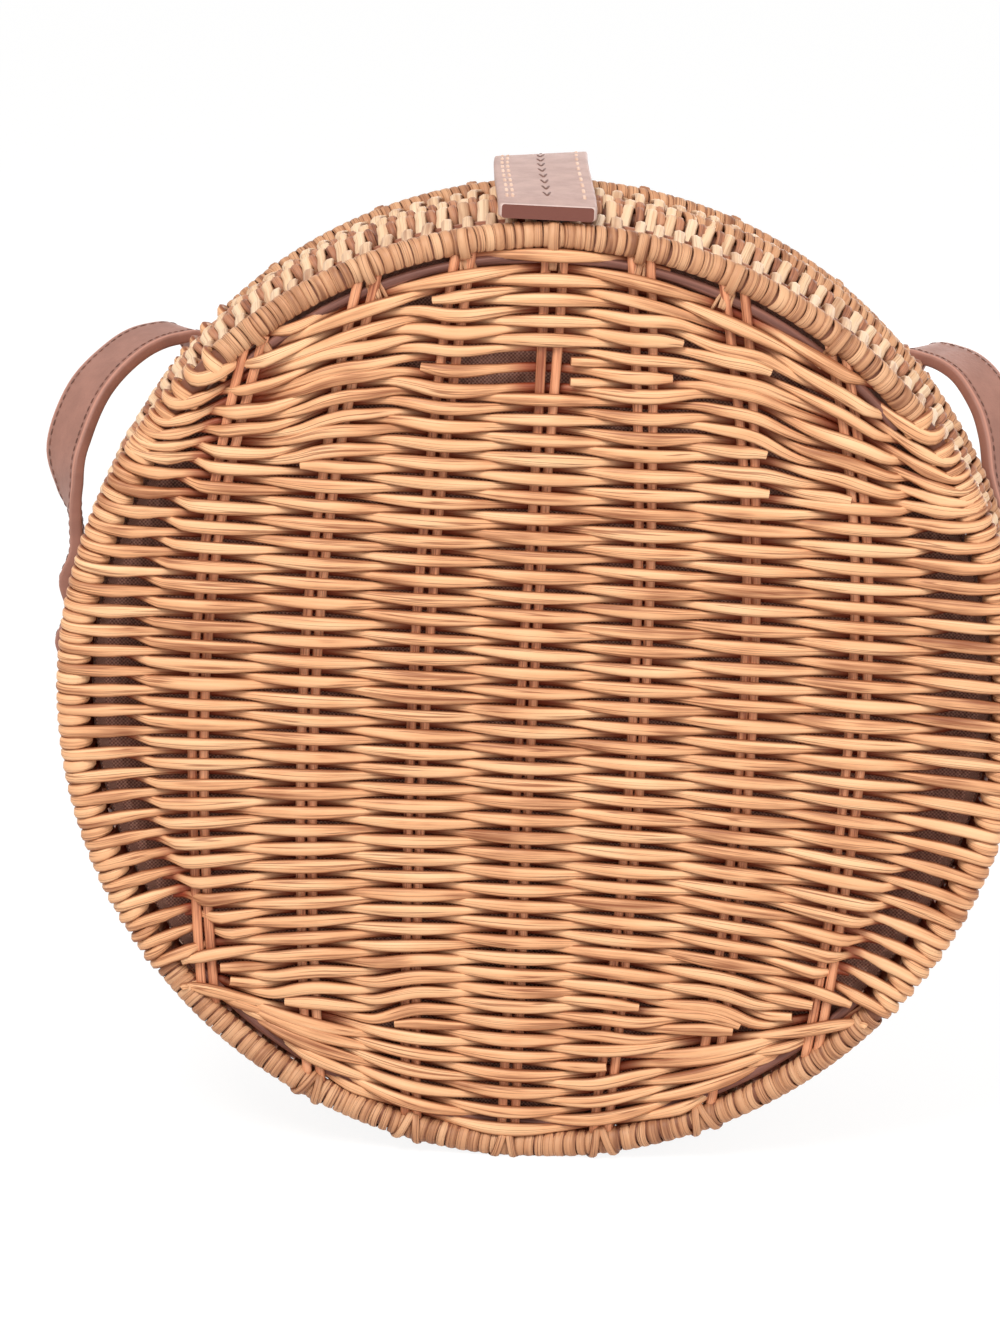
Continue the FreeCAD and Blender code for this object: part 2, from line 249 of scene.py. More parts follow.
def ring_faces(index, closed):
    """Quads between the rings of index (strands, rings, sides), the last joined to the first if closed."""
    ahead = np.roll(index, -1, axis=1) if closed else index[:, 1:]
    here = index if closed else index[:, :-1]
    quads = np.stack([here, np.roll(here, -1, 2), np.roll(ahead, -1, 2), ahead], -1)
    return quads.reshape(-1, 4)


def quad_corners(uv):
    """UV at the corners of the quads between rings (rings, sides), in the order of ring_faces."""
    beside = np.roll(uv, -1, 1)
    return np.stack([uv[:-1], beside[:-1], beside[1:], uv[1:]], -2)


def strands(name, paths, across, wide, thick, sides, tone, deep, closed=False, floor=None):
    """Flat-oval strands carried along paths of shape (strands, rings, 3).

    A ring's point at angle a is path + wide cos(a) across + thick sin(a) outward, where across
    is turned square to the path and outward is square to both. UV is millimetres along the
    strand and the share of the way round it.
    """
    count, rings = paths.shape[:2]
    across, outward = section_axes(paths, across, closed)
    angle = 2 * np.pi * (np.arange(sides) + 0.5) / sides
    wide = np.broadcast_to(wide, paths.shape[:2])[:, :, None, None]
    thick = np.broadcast_to(thick, paths.shape[:2])[:, :, None, None]
    c, s = np.cos(angle)[:, None], np.sin(angle)[:, None]
    points = paths[:, :, None] + wide * c * across[:, :, None] + thick * s * outward[:, :, None]
    if floor is not None:
        points[..., 2] = np.maximum(points[..., 2], floor(points))
    tone = np.broadcast_to(np.asarray(tone)[:, None], (count, rings))
    along = run_length(paths) + GRAIN_SHIFT * tone
    index = np.arange(count * rings * sides).reshape(count, rings, sides)
    quads = ring_faces(index, closed)
    u0, u1 = (along, np.roll(along, -1, 1)) if closed else (along[:, :-1], along[:, 1:])
    if closed:
        u1[:, -1] = along[:, -1] + 1
    u0, u1 = (np.broadcast_to(u[:, :, None], u.shape + (sides,)) for u in (u0, u1))
    v0 = np.broadcast_to(np.arange(sides) / sides, u0.shape)
    v1 = v0 + 1 / sides
    uv = np.stack([np.stack([u, v], -1) for u, v in ((u0, v0), (u0, v1), (u1, v1), (u1, v0))], -2)
    faces, places, smooth = [quads], [uv], [True]
    if not closed:
        for ring, turn in ((0, -1), (rings - 1, 1)):
            cap = index[:, ring, ::turn]
            faces.append(cap)
            ends = np.broadcast_to(along[:, ring, None], cap.shape)
            places.append(np.stack([ends, np.full(cap.shape, 0.5)], -1))
            smooth.append(False)
    spread = (count, rings, sides)
    held = {
        "tone": np.broadcast_to(tone[:, :, None], spread),
        # Painted shade, where a strand passes behind others
        "deep": np.broadcast_to(np.broadcast_to(deep, (count, rings))[:, :, None], spread),
    }
    return put_mesh(name, points, faces, places, smooth, held)


def band_section(corner):
    """Rounded rectangle of half width and half thickness 1, as corner signs and arc shares.

    Each point is (x sign, y sign, arc cosine, arc sine): the corner's middle plus radius times
    the arc, so that one list serves any width and thickness.
    """
    rows = []
    for sx, sy, first in ((1, 1, 0), (-1, 1, 90), (-1, -1, 180), (1, -1, 270)):
        for turn in (0, 30, 60, 90):
            a = math.radians(first + turn)
            rows.append((sx, sy, corner * math.cos(a), corner * math.sin(a)))
    return np.array(rows)


def band(name, path, across, half_width, half_thick, corner=0.8, fill=3):
    """Leather band: a rounded rectangle carried along one path of shape (rings, 3).

    Each of its two faces has fill more points between its corners. UV is millimetres along and
    across the band. The attribute edge is 1 on its rims and at the border of its last end, and
    tip is 1 on the two ends.
    """
    across, outward = section_axes(path, across)
    rows = band_section(corner)
    wide = np.broadcast_to(half_width, len(path))[:, None]
    thick = np.broadcast_to(half_thick, len(path))[:, None]
    x = rows[:, 0] * (wide - corner) + rows[:, 2]
    y = rows[:, 1] * (thick - corner) + rows[:, 3]
    share = np.arange(1, fill + 1) / (fill + 1)
    top_x = x[:, 3:4] + (x[:, 4:5] - x[:, 3:4]) * share
    low_x = x[:, 11:12] + (x[:, 12:13] - x[:, 11:12]) * share
    top_y = np.broadcast_to(y[:, 3:4], top_x.shape)
    low_y = np.broadcast_to(y[:, 11:12], low_x.shape)
    x = np.concatenate([x[:, :4], top_x, x[:, 4:12], low_x, x[:, 12:]], 1)
    y = np.concatenate([y[:, :4], top_y, y[:, 4:12], low_y, y[:, 12:]], 1)
    points = path[:, None] + x[..., None] * across[:, None] + y[..., None] * outward[:, None]
    sides = x.shape[1]
    index = np.arange(len(path) * sides).reshape(1, len(path), sides)
    quads = ring_faces(index, False)
    u = np.broadcast_to(run_length(path)[:, None], x.shape)
    corners = quad_corners(np.stack([u, x], -1))
    ends = index.size + np.arange(2 * sides).reshape(2, 1, sides)
    caps = [ends[0, :, ::-1], ends[1]]
    points = np.concatenate([points, points[[0, -1]]])
    cap_uv = [np.stack([u[0] + y[0], x[0]], -1)[::-1], np.stack([u[-1] + y[-1], x[-1]], -1)]
    edge = smoothstep(0.35, 0.75, 1 - np.abs(y) / thick) * (np.abs(x) > wide - 1.5 * corner)
    edge[-1] = 1
    held = {
        "edge": np.concatenate([edge, np.zeros((2, sides))]),
        "tip": np.concatenate([np.zeros_like(edge), np.ones((2, sides))]),
    }
    return put_mesh(name, points, [quads] + caps, [corners] + cap_uv, [True, False, False], held)


def seam(name, path, across, half_thick, rows, pitch, length, wide=0.28):
    """Stitches along a band: short strands with both ends down in the leather.

    Each row is (offset across, face, slant): a stitch lies at path + offset across + face (half
    thickness + height) outward, its offset growing by slant from end to end and its height an
    arch over its length.
    """
    along = run_length(path)
    across, outward = section_axes(path, across)
    half_thick = np.broadcast_to(half_thick, len(path))
    share = np.array([0.0, 0.15, 0.5, 0.85, 1.0])
    arch = np.array([-0.3, -0.05, 0.02, -0.05, -0.3])
    place = np.arange(pitch, along[-1] - pitch - length, pitch)[:, None] + length * share
    at, side, out = (
        np.stack([np.interp(place, along, axis) for axis in part.T], -1) for part in (path, across, outward)
    )
    lift = np.interp(place, along, half_thick) + arch
    paths = []
    for offset, face, slant in rows:
        aside = offset + slant * (share - 0.5)
        paths.append(at + side * aside[:, None] + out * (face * lift)[..., None])
    paths = np.concatenate(paths)
    tone = np.arange(len(paths)) * 0.618 % 1
    return strands(name, paths, np.concatenate([side] * len(rows)), wide, 0.2, 5, tone, 0.0)


def studs(name, feet, ways, profile, sides=24):
    """Turned pieces, one at each foot: the profile's radii and heights, from low to high, carried round."""
    feet = np.asarray(feet, float)[:, None, None]
    ways = unit(np.asarray(ways, float))
    aside = unit(np.cross(ways, [0.3, 0.5, 0.8]))
    beside = np.cross(ways, aside)
    radius, height = np.asarray(profile, float).T[:, :, None, None]
    a = 2 * np.pi * np.arange(sides)[:, None] / sides
    spoke = aside[:, None] * np.cos(a) + beside[:, None] * np.sin(a)
    points = feet + ways[:, None, None] * height + spoke[:, None] * radius
    quads = ring_faces(np.arange(points[..., 0].size).reshape(points.shape[:-1]), False)
    return put_mesh(name, points, [quads], [np.zeros((len(quads), 4, 2))], [True], {})


def node_box(name):
    """Lowest and highest corner of a frame node, in millimetres from the bag's centre."""
    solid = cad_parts[name]
    corners = np.array([solid.matrix_world @ Vector(corner) for corner in solid.bound_box]) * 1000
    corners = corners - (0, 0, CENTRE_HEIGHT)
    return corners.min(0), corners.max(0)


def face_x_share(z):
    """How far the stakes keep their spacing at a height: they lean together at top and bottom."""
    return 1 - np.where(z > 0, LEAN_TOP, LEAN_LOW) * (z / 100) ** 2


def turned(points, angle):
    """Points turned clockwise, seen from the front, about the bag's axis."""
    x, y, z = np.moveaxis(np.asarray(points, float), -1, 0)
    c, s = math.cos(angle), math.sin(angle)
    return np.stack([x * c + z * s, y, z * c - x * s], -1)


class Face:
    """The woven face of one half: rows of weft over and under the stakes, inside the rim hoop.

    Rows are counted from the bottom and are over the middle stakes where their sign is +1.
    """

    def __init__(self, side, seed):
        self.side = side
        self.random = np.random.default_rng(seed)
        self.shift = STAKE_SHIFT if side < 0 else 0.0
        self.angle = WEAVE_TURN if side < 0 else 0.0
        order = np.arange(ROW_COUNT)
        self.sign = np.where(order % 2 == 0, 1.0, -1.0)
        self.cut = self.cut_places()
        self.slip = np.full(ROW_COUNT, 2 * GRID[-1])
        self.slip[:SAG_ROW] = LOW_SLIP + (SAG_SLIP - LOW_SLIP) * (order[:SAG_ROW] / SAG_ROW) ** 0.7
        self.slip[TOP_ROW] = TOP_SLIP
        self.rows = self.row_heights()
        self.half, self.ends = self.rim_places()
        whole = np.isnan(self.cut) & (order >= FAN_ROW)[:, None] & (order < TOP_ROW)[:, None]
        self.reaches_rim = whole & (self.sign > 0)[:, None]
        # A row that is over the outermost stakes turns in behind before the rim
        self.turned_in = whole & (self.sign < 0)[:, None]
        self.rim_wide = self.rim_widths()
        self.wave = self.random.normal(size=(ROW_COUNT, 4)) * (0.16, 0.16, 0.12, 0.5)

    def lay(self, points):
        """Points of the face as they lie: the front weave is a little turned in its rim."""
        return turned(points, self.angle)

    def cut_places(self):
        """Left and right end of each row that is cut short, from the middle, or nan."""
        places = np.full((ROW_COUNT, 2), np.nan)
        rows = np.array(list(CUT_ENDS))
        pitch = STAKE_PITCH * face_x_share((rows - ROW_COUNT // 2) * ROW_PITCH)
        places[rows] = np.array(list(CUT_ENDS.values())) * pitch[:, None] + self.shift
        return places

    def row_heights(self):
        """Height of each row over the places GRID.

        A row takes up room 1 where it runs and 0 past its ends. The rows between two leading rows
        share the height between them by their room, so they close up where one ends.
        """
        low = np.where(np.isnan(self.cut[:, 0]), -self.slip, self.cut[:, 0])[:, None]
        high = np.where(np.isnan(self.cut[:, 1]), self.slip, self.cut[:, 1])[:, None]
        room = smoothstep(-9, 4, GRID - low) * smoothstep(-9, 4, high - GRID)
        place = np.vstack([np.zeros(len(GRID)), np.cumsum((room[:-1] + room[1:]) / 2, 0)])
        lead = list(LEADING_ROWS)
        curves = {}
        for row, (middle, left, right, reach, power) in LEADING_ROWS.items():
            curves[row] = middle + np.where(GRID < 0, left, right) * (np.abs(GRID) / reach) ** power
        heights = np.zeros((ROW_COUNT, len(GRID)))
        for a, b in zip(lead, lead[1:]):
            share = (place[a:b + 1] - place[a]) / (place[b] - place[a])
            heights[a:b + 1] = curves[a] + (curves[b] - curves[a]) * share
        near_rim = np.clip(1 - (RIM_RING - np.hypot(GRID, heights)) / 6, 0, 1)
        return heights * (1 + 0.02 * near_rim ** 2)

    def height_at(self, row, x):
        """Height of the rows at places x, read between the points of GRID."""
        step = (x - GRID[0]) / (GRID[1] - GRID[0])
        low = np.clip(step.astype(int), 0, len(GRID) - 2)
        share = step - low
        return self.rows[row, low] * (1 - share) + self.rows[row, low + 1] * share

    def rim_places(self):
        """How far left and right each row meets the ring of the rim hoop, and its height there."""
        order = np.arange(ROW_COUNT)
        outside = np.hypot(GRID, self.rows) >= RIM_RING
        half = np.zeros((ROW_COUNT, 2))
        for hand, way in ((0, -1), (1, 1)):
            held = outside & (way * GRID > 0)
            first = np.argmax(held if way > 0 else held[:, ::-1], axis=1)
            reach = GRID[first] if way > 0 else -GRID[::-1][first]
            half[:, hand] = np.where(held.any(1), np.abs(reach), GRID[-1])
        ends = np.stack([self.height_at(order, -half[:, 0]), self.height_at(order, half[:, 1])], 1)
        ends = np.clip(ends, -RIM_RING + 1, RIM_RING - 1)
        return np.where(half < GRID[-1], np.sqrt(RIM_RING ** 2 - ends ** 2), half), ends

    def rim_widths(self):
        """Half width of each row where it goes round the rim: about half way to its neighbours there."""
        turn = np.arcsin(self.ends / RIM_RING)
        wide = np.full(self.ends.shape, RIM_HALF)
        for hand in (0, 1):
            held = np.nonzero(self.reaches_rim[:, hand] | self.turned_in[:, hand])[0]
            room = 0.54 * RIM_RING * np.gradient(turn[held, hand])
            wide[held, hand] = np.clip(room, RIM_HALF_LEAST, RIM_HALF_MOST)
        return wide

    def ease_corners(self, paths, row, s):
        """Rounds the turn that a row takes where it comes to the rim, by averaging x and z along it."""
        half = self.half[row[:, None], (s > 0).astype(int)]
        near = smoothstep(-8, -3, np.abs(s) - half) * smoothstep(5, 2.5, np.abs(s) - half)
        flat = paths[..., [0, 2]]
        for _ in range(4):
            smooth = flat.copy()
            smooth[:, 1:-1] = (flat[:, :-2] + 2 * flat[:, 1:-1] + flat[:, 2:]) / 4
            flat = flat + near[..., None] * (smooth - flat)
        return np.stack([flat[..., 0], paths[..., 1], flat[..., 1]], -1)

    def path(self, row, s):
        """Middle line of rows (strands,) at places s (strands, rings) along them, and how high it runs.

        Inside the rim x = s, z is the row's height there and the rise over the panel is
        depth * sign * cos(pi * stakes passed), led over the rim or in behind it near the ends.
        Past the rim the place runs round the hoop on a circle of radius HOOP_PATH, along the bag's
        radius. Each row also wavers a little, less towards its ends.
        """
        row = row[:, None]
        hand = (s > 0).astype(int)
        half = self.half[row, hand]
        x = np.clip(s, -self.half[row, 0], self.half[row, 1])
        reach = np.abs(x)
        z = self.height_at(row, x)
        w = self.wave[row]
        loose = 1 - np.clip(reach / half, 0, 1) ** 4
        waver = w[..., 0] * np.sin(x / 17 + 9 * w[..., 3]) + w[..., 1] * np.cos(x / 41 + 5 * w[..., 3])
        z = z + loose * waver
        passed = (x - self.shift) / (STAKE_PITCH * face_x_share(z))
        rise = self.sign[row] * np.cos(np.pi * np.clip(passed, -4, 4))
        turned_in = self.turned_in[row, hand]
        over_rim = self.reaches_rim[row, hand]
        lead_in = np.where(turned_in, smoothstep(half - 17, half - 10, reach), 0)
        lead_over = np.where(over_rim, smoothstep(half - 11, half - 3, reach), 0)
        rise = rise + (TURN_IN_RISE - rise) * lead_in
        rise = rise + ((RIM_Y + HOOP_PATH - PANEL_MID) / WEAVE_DEPTH - rise) * lead_over
        rise = rise + (SLIP_RISE - rise) * smoothstep(self.slip[row] - 9, self.slip[row], reach)
        z = z + TURN_IN_LIFT * lead_in
        turn = np.maximum(np.abs(s) - half, 0) / HOOP_PATH
        out = 1 + HOOP_PATH / RIM_RING * np.sin(turn)
        x = np.sign(s) * reach * out
        z = z * out
        y = np.where(turn > 0, RIM_Y + HOOP_PATH * np.cos(turn), PANEL_MID + WEAVE_DEPTH * rise)
        return np.stack([x, self.side * y, z], -1), rise, turn

    def weft_spans(self):
        """Row, start and end of every weft strand, and whether each end goes round the rim."""
        row = np.arange(ROW_COUNT)
        inside = np.where(self.turned_in, self.half - TURN_IN_SHORT, self.half)
        reach = np.minimum(inside, self.slip[:, None])
        low = np.where(np.isnan(self.cut[:, 0]), -reach[:, 0], self.cut[:, 0])
        high = np.where(np.isnan(self.cut[:, 1]), reach[:, 1], self.cut[:, 1])
        low_rim, high_rim = self.reaches_rim.T
        if self.side > 0:
            return row, low, high, low_rim, high_rim
        # Two rows near the top of the front stop at the stakes left of the middle and go on past it
        broken = np.array(BROKEN_ROWS)
        pitch = STAKE_PITCH * face_x_share((broken - ROW_COUNT // 2) * ROW_PITCH)
        stop, go_on = (share * pitch + self.shift for share in BROKEN_SPAN)
        left_high = high.copy()
        left_high[broken] = stop
        left_rim = high_rim.copy()
        left_rim[broken] = False
        no_rim = np.zeros(len(broken), bool)
        whole = (row, low, left_high, low_rim, left_rim)
        rest = (broken, go_on, high[broken], no_rim, high_rim[broken])
        return tuple(np.concatenate(pair) for pair in zip(whole, rest))

    def wefts(self, name):
        """All weft strands of the face as one mesh, swelling over the stakes and fitted to the rim."""
        row, low, high, low_rim, high_rim = self.weft_spans()
        tail = np.linspace(0, 1, 9)[1:]
        before = np.where(low_rim, HOOP_PATH * ROUND_RIM, CUT_TAIL)[:, None] * tail[::-1]
        after = np.where(high_rim, HOOP_PATH * ROUND_RIM, CUT_TAIL)[:, None] * tail
        inner = low[:, None] + (high - low)[:, None] * np.linspace(0, 1, 97)
        s = np.concatenate([low[:, None] - before, inner, high[:, None] + after], 1)
        paths, rise, turn = self.path(row, s)
        paths = self.ease_corners(paths, row, s)
        over = np.clip(rise, -1, 1) * 0.5 + 0.5
        jitter = 1 + WEFT_SPREAD * self.random.normal(size=len(row))[:, None]
        wide = (WEFT_HALF + WEFT_SWELL * np.maximum(over - 0.5, 0)) * jitter
        hand = (s > 0).astype(int)
        at_rim = smoothstep(-7, 0, np.abs(s) - self.half[row[:, None], hand])
        wide = wide + (self.rim_wide[row[:, None], hand] - wide) * at_rim
        tips = np.minimum(s - s[:, :1], s[:, -1:] - s)
        taper = TIP_SHARE + (1 - TIP_SHARE) * smoothstep(0, 5, tips)
        thick = STRAND_THICK * (0.9 + 0.15 * over) * jitter
        # Painted shade where the weft passes behind the stakes, none round the rim
        deep = np.where(turn > 0, 0, np.clip(-0.1 - rise, 0, 0.9) * 1.1)
        tone = self.random.random(len(row))
        across = self.lay([0, 0, 1.0])
        paths = self.lay(paths)
        return strands(name, paths, across, wide * taper, thick * taper, 8, tone, deep, floor=ground)

    def stake_ends(self, pair, way):
        """Height at which the stakes of a pair meet the rim, found by going back and forth."""
        z = way * np.full(pair.shape, 90.0)
        for _ in range(5):
            x = pair * STAKE_PITCH * face_x_share(z) + self.shift
            z = way * np.sqrt((RIM_RING - 1.0) ** 2 - x ** 2)
        return z

    def stake_turns(self, pair, way):
        """Angle round the bag at which the stakes of a pair meet the rim."""
        z = self.stake_ends(pair, way)
        return np.arctan2(z, pair * STAKE_PITCH * face_x_share(z) + self.shift)

    def stakes(self, name):
        """Upright rods in pairs, leaning together towards the top and bottom of the face."""
        pair = np.repeat(np.arange(STAKE_PAIRS) - STAKE_PAIRS // 2, 2)
        hand = np.tile([-1, 1], STAKE_PAIRS)
        low, high = self.stake_ends(pair, -1), self.stake_ends(pair, 1)
        z = low[:, None] + (high - low)[:, None] * np.linspace(0, 1, 65)
        lean = self.random.normal(size=(len(pair), 2)) * 0.25
        spread = SPREAD_TOP * smoothstep(40, 95, z) + SPREAD_LOW * smoothstep(40, 95, -z)
        apart = STAKE_APART * (1 + spread)
        x = pair[:, None] * STAKE_PITCH * face_x_share(z) + self.shift + hand[:, None] * apart
        x = x + lean[:, :1] * np.sin(z / 31 + 8 * lean[:, 1:])
        y = PANEL_MID + 0.25 * np.sin(z / 9 + pair[:, None])
        paths = self.lay(np.stack([x, self.side * y, z], -1))
        tone = self.random.random(len(pair))
        across = self.lay([1.0, 0, 0])
        return strands(name, paths, across, STAKE_RADIUS * 0.97, STAKE_RADIUS * 0.9, 10, tone, 0.0)

    def rim_loops(self, name):
        """Short loops round the rim hoop at the rows that turn in before it.

        A loop at angle a round the hoop's section is hoop + HOOP_PATH (cos a outward, sin a forward).
        """
        row, hand = np.nonzero(self.turned_in)
        height, half = self.ends[row, hand], self.half[row, hand]
        way = np.where(hand > 0, 1.0, -1.0)[:, None]
        a = np.radians(np.linspace(-95, 232, 19))
        out = 1 + HOOP_PATH / RIM_RING * np.cos(a)
        x = way * half[:, None] * out
        y = self.side * (RIM_Y + HOOP_PATH * np.sin(a)) * np.ones_like(x)
        z = height[:, None] * out
        tone = self.random.random(len(row))
        wide = self.rim_wide[row, hand] + 0.06 * self.random.normal(size=len(row))
        taper = np.where(a > np.radians(195), 0.8, 1.0)
        paths = self.lay(np.stack([x, y, z], -1))
        across = self.lay([0, 0, 1.0])
        return strands(name, paths, across, wide[:, None] * taper, 0.80, 8, tone, 0.0, floor=ground)

    def rim_arcs(self):
        """Stretches of the rim, in radians, that no row goes round: over the top and under the bottom."""
        held = self.reaches_rim | self.turned_in
        reach = np.where(held, self.ends, np.nan)
        top = np.arcsin((np.nanmax(reach, 0) + 1.4) / RIM_RING)
        low = np.arcsin((np.nanmin(reach, 0) - 1.4) / RIM_RING)
        return (top[1], math.pi - top[0]), (math.pi - low[0], 2 * math.pi + low[1])

    def binding(self, name):
        """Flat cane wrapped round the rim hoop over its top and bottom, each wrap beside the last."""
        wraps = [wraps_along(self.random, RIM_RING, arc, 1.75, 2.75) for arc in self.rim_arcs()]
        turn, wide = np.concatenate(wraps, 1)
        slant = self.random.normal(size=len(turn)) * 0.002 + 0.006
        ring, radius = RIM_RING + RIM_CANE_THICK, HOOP_PATH - RIM_CANE_THICK
        loops = self.lay(wrap_paths(turn, slant, ring, self.side * RIM_Y, radius, 18))
        tone = self.random.random(len(turn))
        along = self.lay(round_tangent(turn[:, None]))
        half = wide[:, None] * 0.52
        return strands(name, loops, along, half, RIM_CANE_THICK, 8, tone, 0.0, closed=True, floor=ground)

    def knots(self, name):
        """Ends of the stakes bent over the rim: a strand over the hoop and down, between two thin legs.

        Seen along the rim the path is an arc round the hoop, from its outside over its front, and
        then straight in over the face.
        """
        pair = np.arange(STAKE_PAIRS) - STAKE_PAIRS // 2
        turn = self.stake_turns(pair, 1)
        a = np.radians(np.linspace(30, 172, 15))
        over = np.stack([RIM_RING + 0.2 + KNOT_PATH * np.cos(a), RIM_Y + KNOT_PATH * np.sin(a)], -1)
        out, depth = np.concatenate([over, np.linspace(*KNOT_IN, 4)]).T
        legs = np.array([-1.0, 0.0, 1.0])
        aside = legs[:, None] * np.concatenate([np.full(11, 0.7), np.linspace(0.7, 1.9, 8)])
        turn = (turn[:, None, None] + aside / RIM_RING).reshape(-1, len(out))
        drop = np.tile(np.abs(legs), len(pair))[:, None]
        out, depth = out - 0.9 * drop * smoothstep(99, 95, out), depth - 0.35 * drop
        paths, along = on_wall(turn, out, self.side * depth), round_tangent(turn)
        wide = np.tile(np.where(legs == 0, KNOT_HALF, KNOT_LEG_HALF), len(pair))[:, None]
        taper = np.concatenate([np.ones(14), np.linspace(1, 0.72, 5)])
        shown = np.ravel((legs == 0) | (np.abs(pair) < 3)[:, None])
        paths, along, wide = self.lay(paths[shown]), self.lay(along[shown]), wide[shown]
        tone = self.random.random(len(paths))
        return strands(name, paths, along, wide * taper, 0.55 * taper, 7, tone, 0.0, floor=ground)

    def foot_ties(self, name):
        """Ends of the stakes at the bottom, split in two, each half aslant over the bound rim and under it.

        Seen along the rim the path is an arc round the hoop, and it moves along the rim as it goes.
        """
        pair = np.array([-2, -1, 0, 1, 2])
        turn = self.stake_turns(pair, -1)
        a = np.radians(np.linspace(175, -25, 15))
        out = RIM_RING + 0.3 + TIE_PATH * np.cos(a)
        depth = RIM_Y + TIE_PATH * np.sin(a)
        aside = np.array([[-1.0], [1.0]]) * np.linspace(0.2, 3.0, 15)
        turn = (turn[:, None, None] + aside / RIM_RING).reshape(-1, len(a))
        paths = self.lay(on_wall(turn, out, self.side * depth))
        tone = self.random.random(len(turn))
        along = self.lay(round_tangent(turn))
        return strands(name, paths, along, TIE_HALF, 0.55, 7, tone, 0.0, floor=ground)

    def inner_hoop(self, name):
        """Rod inside the rim over its top and bottom, which the outermost rows lie against."""
        arcs = np.array(self.rim_arcs())
        a = arcs[:, :1] + (arcs[:, 1:] - arcs[:, :1]) * np.linspace(0, 1, 97)
        paths = self.lay(on_wall(a, INNER_HOOP, self.side * INNER_HOOP_Y))
        tone = self.random.random(2)
        return strands(name, paths, ALONG_Y, 1.2, 1.2, 8, tone, 0.0, floor=ground)


def ground(points):
    """Lowest height that a strand may reach: the standing surface."""
    return np.full(points.shape[:-1], STANDING_GAP - CENTRE_HEIGHT)


def wrap_paths(turn, slant, ring, y, radius, rings):
    """Closed loops round a hoop at angles turn round the bag.

    A loop at angle a of its section is (ring + radius cos a) out along the bag's radius and
    y + radius sin a in depth, moved along the hoop by slant sin a radians.
    """
    a = np.linspace(0, 2 * np.pi, rings, endpoint=False)
    around = turn[:, None] + slant[:, None] * np.sin(a)
    out = ring + radius * np.cos(a)
    return on_wall(around, out, y + radius * np.sin(a))


def wraps_along(random, ring, arc, least, most):
    """Angles and widths of wraps that fill an arc of a ring, each beside the last."""
    length = ring * (arc[1] - arc[0])
    wide = random.uniform(least, most, int(length / WRAP_PITCH))
    wide = wide * length / wide.sum()
    return arc[0] + (np.cumsum(wide) - wide / 2) / ring, wide


def wall_ground(points):
    """Lowest height of the wall and lips: the standing surface, or the hinge strip's top over it."""
    under = np.abs(points[..., 0]) < NOTCH_HALF
    return np.where(under, NOTCH_TOP, STANDING_GAP) - CENTRE_HEIGHT


def on_wall(turn, radius, depth):
    """Points at angles turn round the bag, at radii from its axis and depths along it."""
    return np.stack([radius * np.cos(turn), depth * np.ones_like(turn), radius * np.sin(turn)], -1)


def round_tangent(turn):
    """Direction along the wall at angles turn round the bag."""
    return np.stack([-np.sin(turn), np.zeros_like(turn), np.cos(turn)], -1)


def wall_strands(name, side, seed, first, line, sway, slant, thick, behind):
    """Every other strand of a wall, from the first: a line of depths and radii, repeated round the bag.

    A strand's angle is its place plus a random sway that follows sin(depth / 8), and a slant with
    the depth. It takes painted shade where its radius is less than the first value of behind, fully
    so by the second value further in.
    """
    random = np.random.default_rng(seed)
    turn = np.arange(first, WALL_STRANDS, 2) * 2 * np.pi / WALL_STRANDS
    depth, out = line.T
    sways = random.normal(size=(len(turn), 2)) * (WALL_TURN_SPREAD, sway)
    around = turn[:, None] + sways[:, :1] + sways[:, 1:] * np.sin(depth / 8) + slant * (depth - 12) / 12
    radius = out + random.normal(size=(len(turn), 1)) * WALL_OUT_SPREAD
    paths = on_wall(around, radius, side * depth)
    # Painted shade where the strand goes in behind the others
    deep = np.clip((behind[0] - out) / behind[1], 0, 1)
    wide = WALL_HALF + WALL_HALF_SPREAD * random.normal(size=(len(turn), 1))
    tone = random.random(len(turn))
    along = round_tangent(turn[:, None])
    return strands(name, paths, along, wide, thick, 7, tone, deep, floor=wall_ground)


def wall_pegs(name, side, seed):
    """Short strands from the rim over the rod of the wall and down behind it, as seen between the others."""
    return wall_strands(name, side, seed, 0, catmull(PEG_LINE, 3), 0.003, 0.0, 0.85, (103.4, 3.0))


def wall_lacing(name, side, seed):
    """Long strands from the rim, under the rod of the wall, up over the lip hoop and down inside it."""
    a = np.radians(np.linspace(60, -170, 10))
    lip = np.stack([LIP_Y + LACE_PATH * np.sin(a), LACE_RING + LACE_PATH * np.cos(a)], -1)
    line = np.vstack([catmull(LACE_LINE, 2), lip])
    return wall_strands(name, side, seed, 1, line, 0.004, 0.004, 0.72, (103.0, 2.5))


def wall_rod(name, side, seed):
    """The rod round a side wall that its strands pass over and under."""
    a = np.linspace(0, 2 * np.pi, 360, endpoint=False)[None]
    radius = WALL_ROD_RING + 0.12 * np.sin(7 * a + seed)
    paths = on_wall(a, radius, side * WALL_ROD_Y)
    # The whole rod takes 0.3 of the darkening that strands get where they pass behind
    return strands(name, paths, ALONG_Y, 1.9, 1.5, 8, [0.5], 0.3, closed=True, floor=wall_ground)


def lip_wraps(name, side, seed):
    """Brown wraps round the lip hoop between the lacing strands."""
    random = np.random.default_rng(seed)
    turn = np.arange(0, WALL_STRANDS, 2) * 2 * np.pi / WALL_STRANDS
    if side > 0:
        turn = turn[~on_cane(turn)]
    turn = turn + random.normal(size=len(turn)) * 0.002
    loops = wrap_paths(turn, np.full(len(turn), 0.004), LACE_RING, side * LIP_Y, LACE_PATH - 0.2, 12)
    wide = 1.1 + 0.06 * random.normal(size=(len(turn), 1))
    tone = random.random(len(turn))
    along = round_tangent(turn[:, None])
    return strands(name, loops, along, wide, 0.72, 7, tone, 0.0, closed=True, floor=wall_ground)


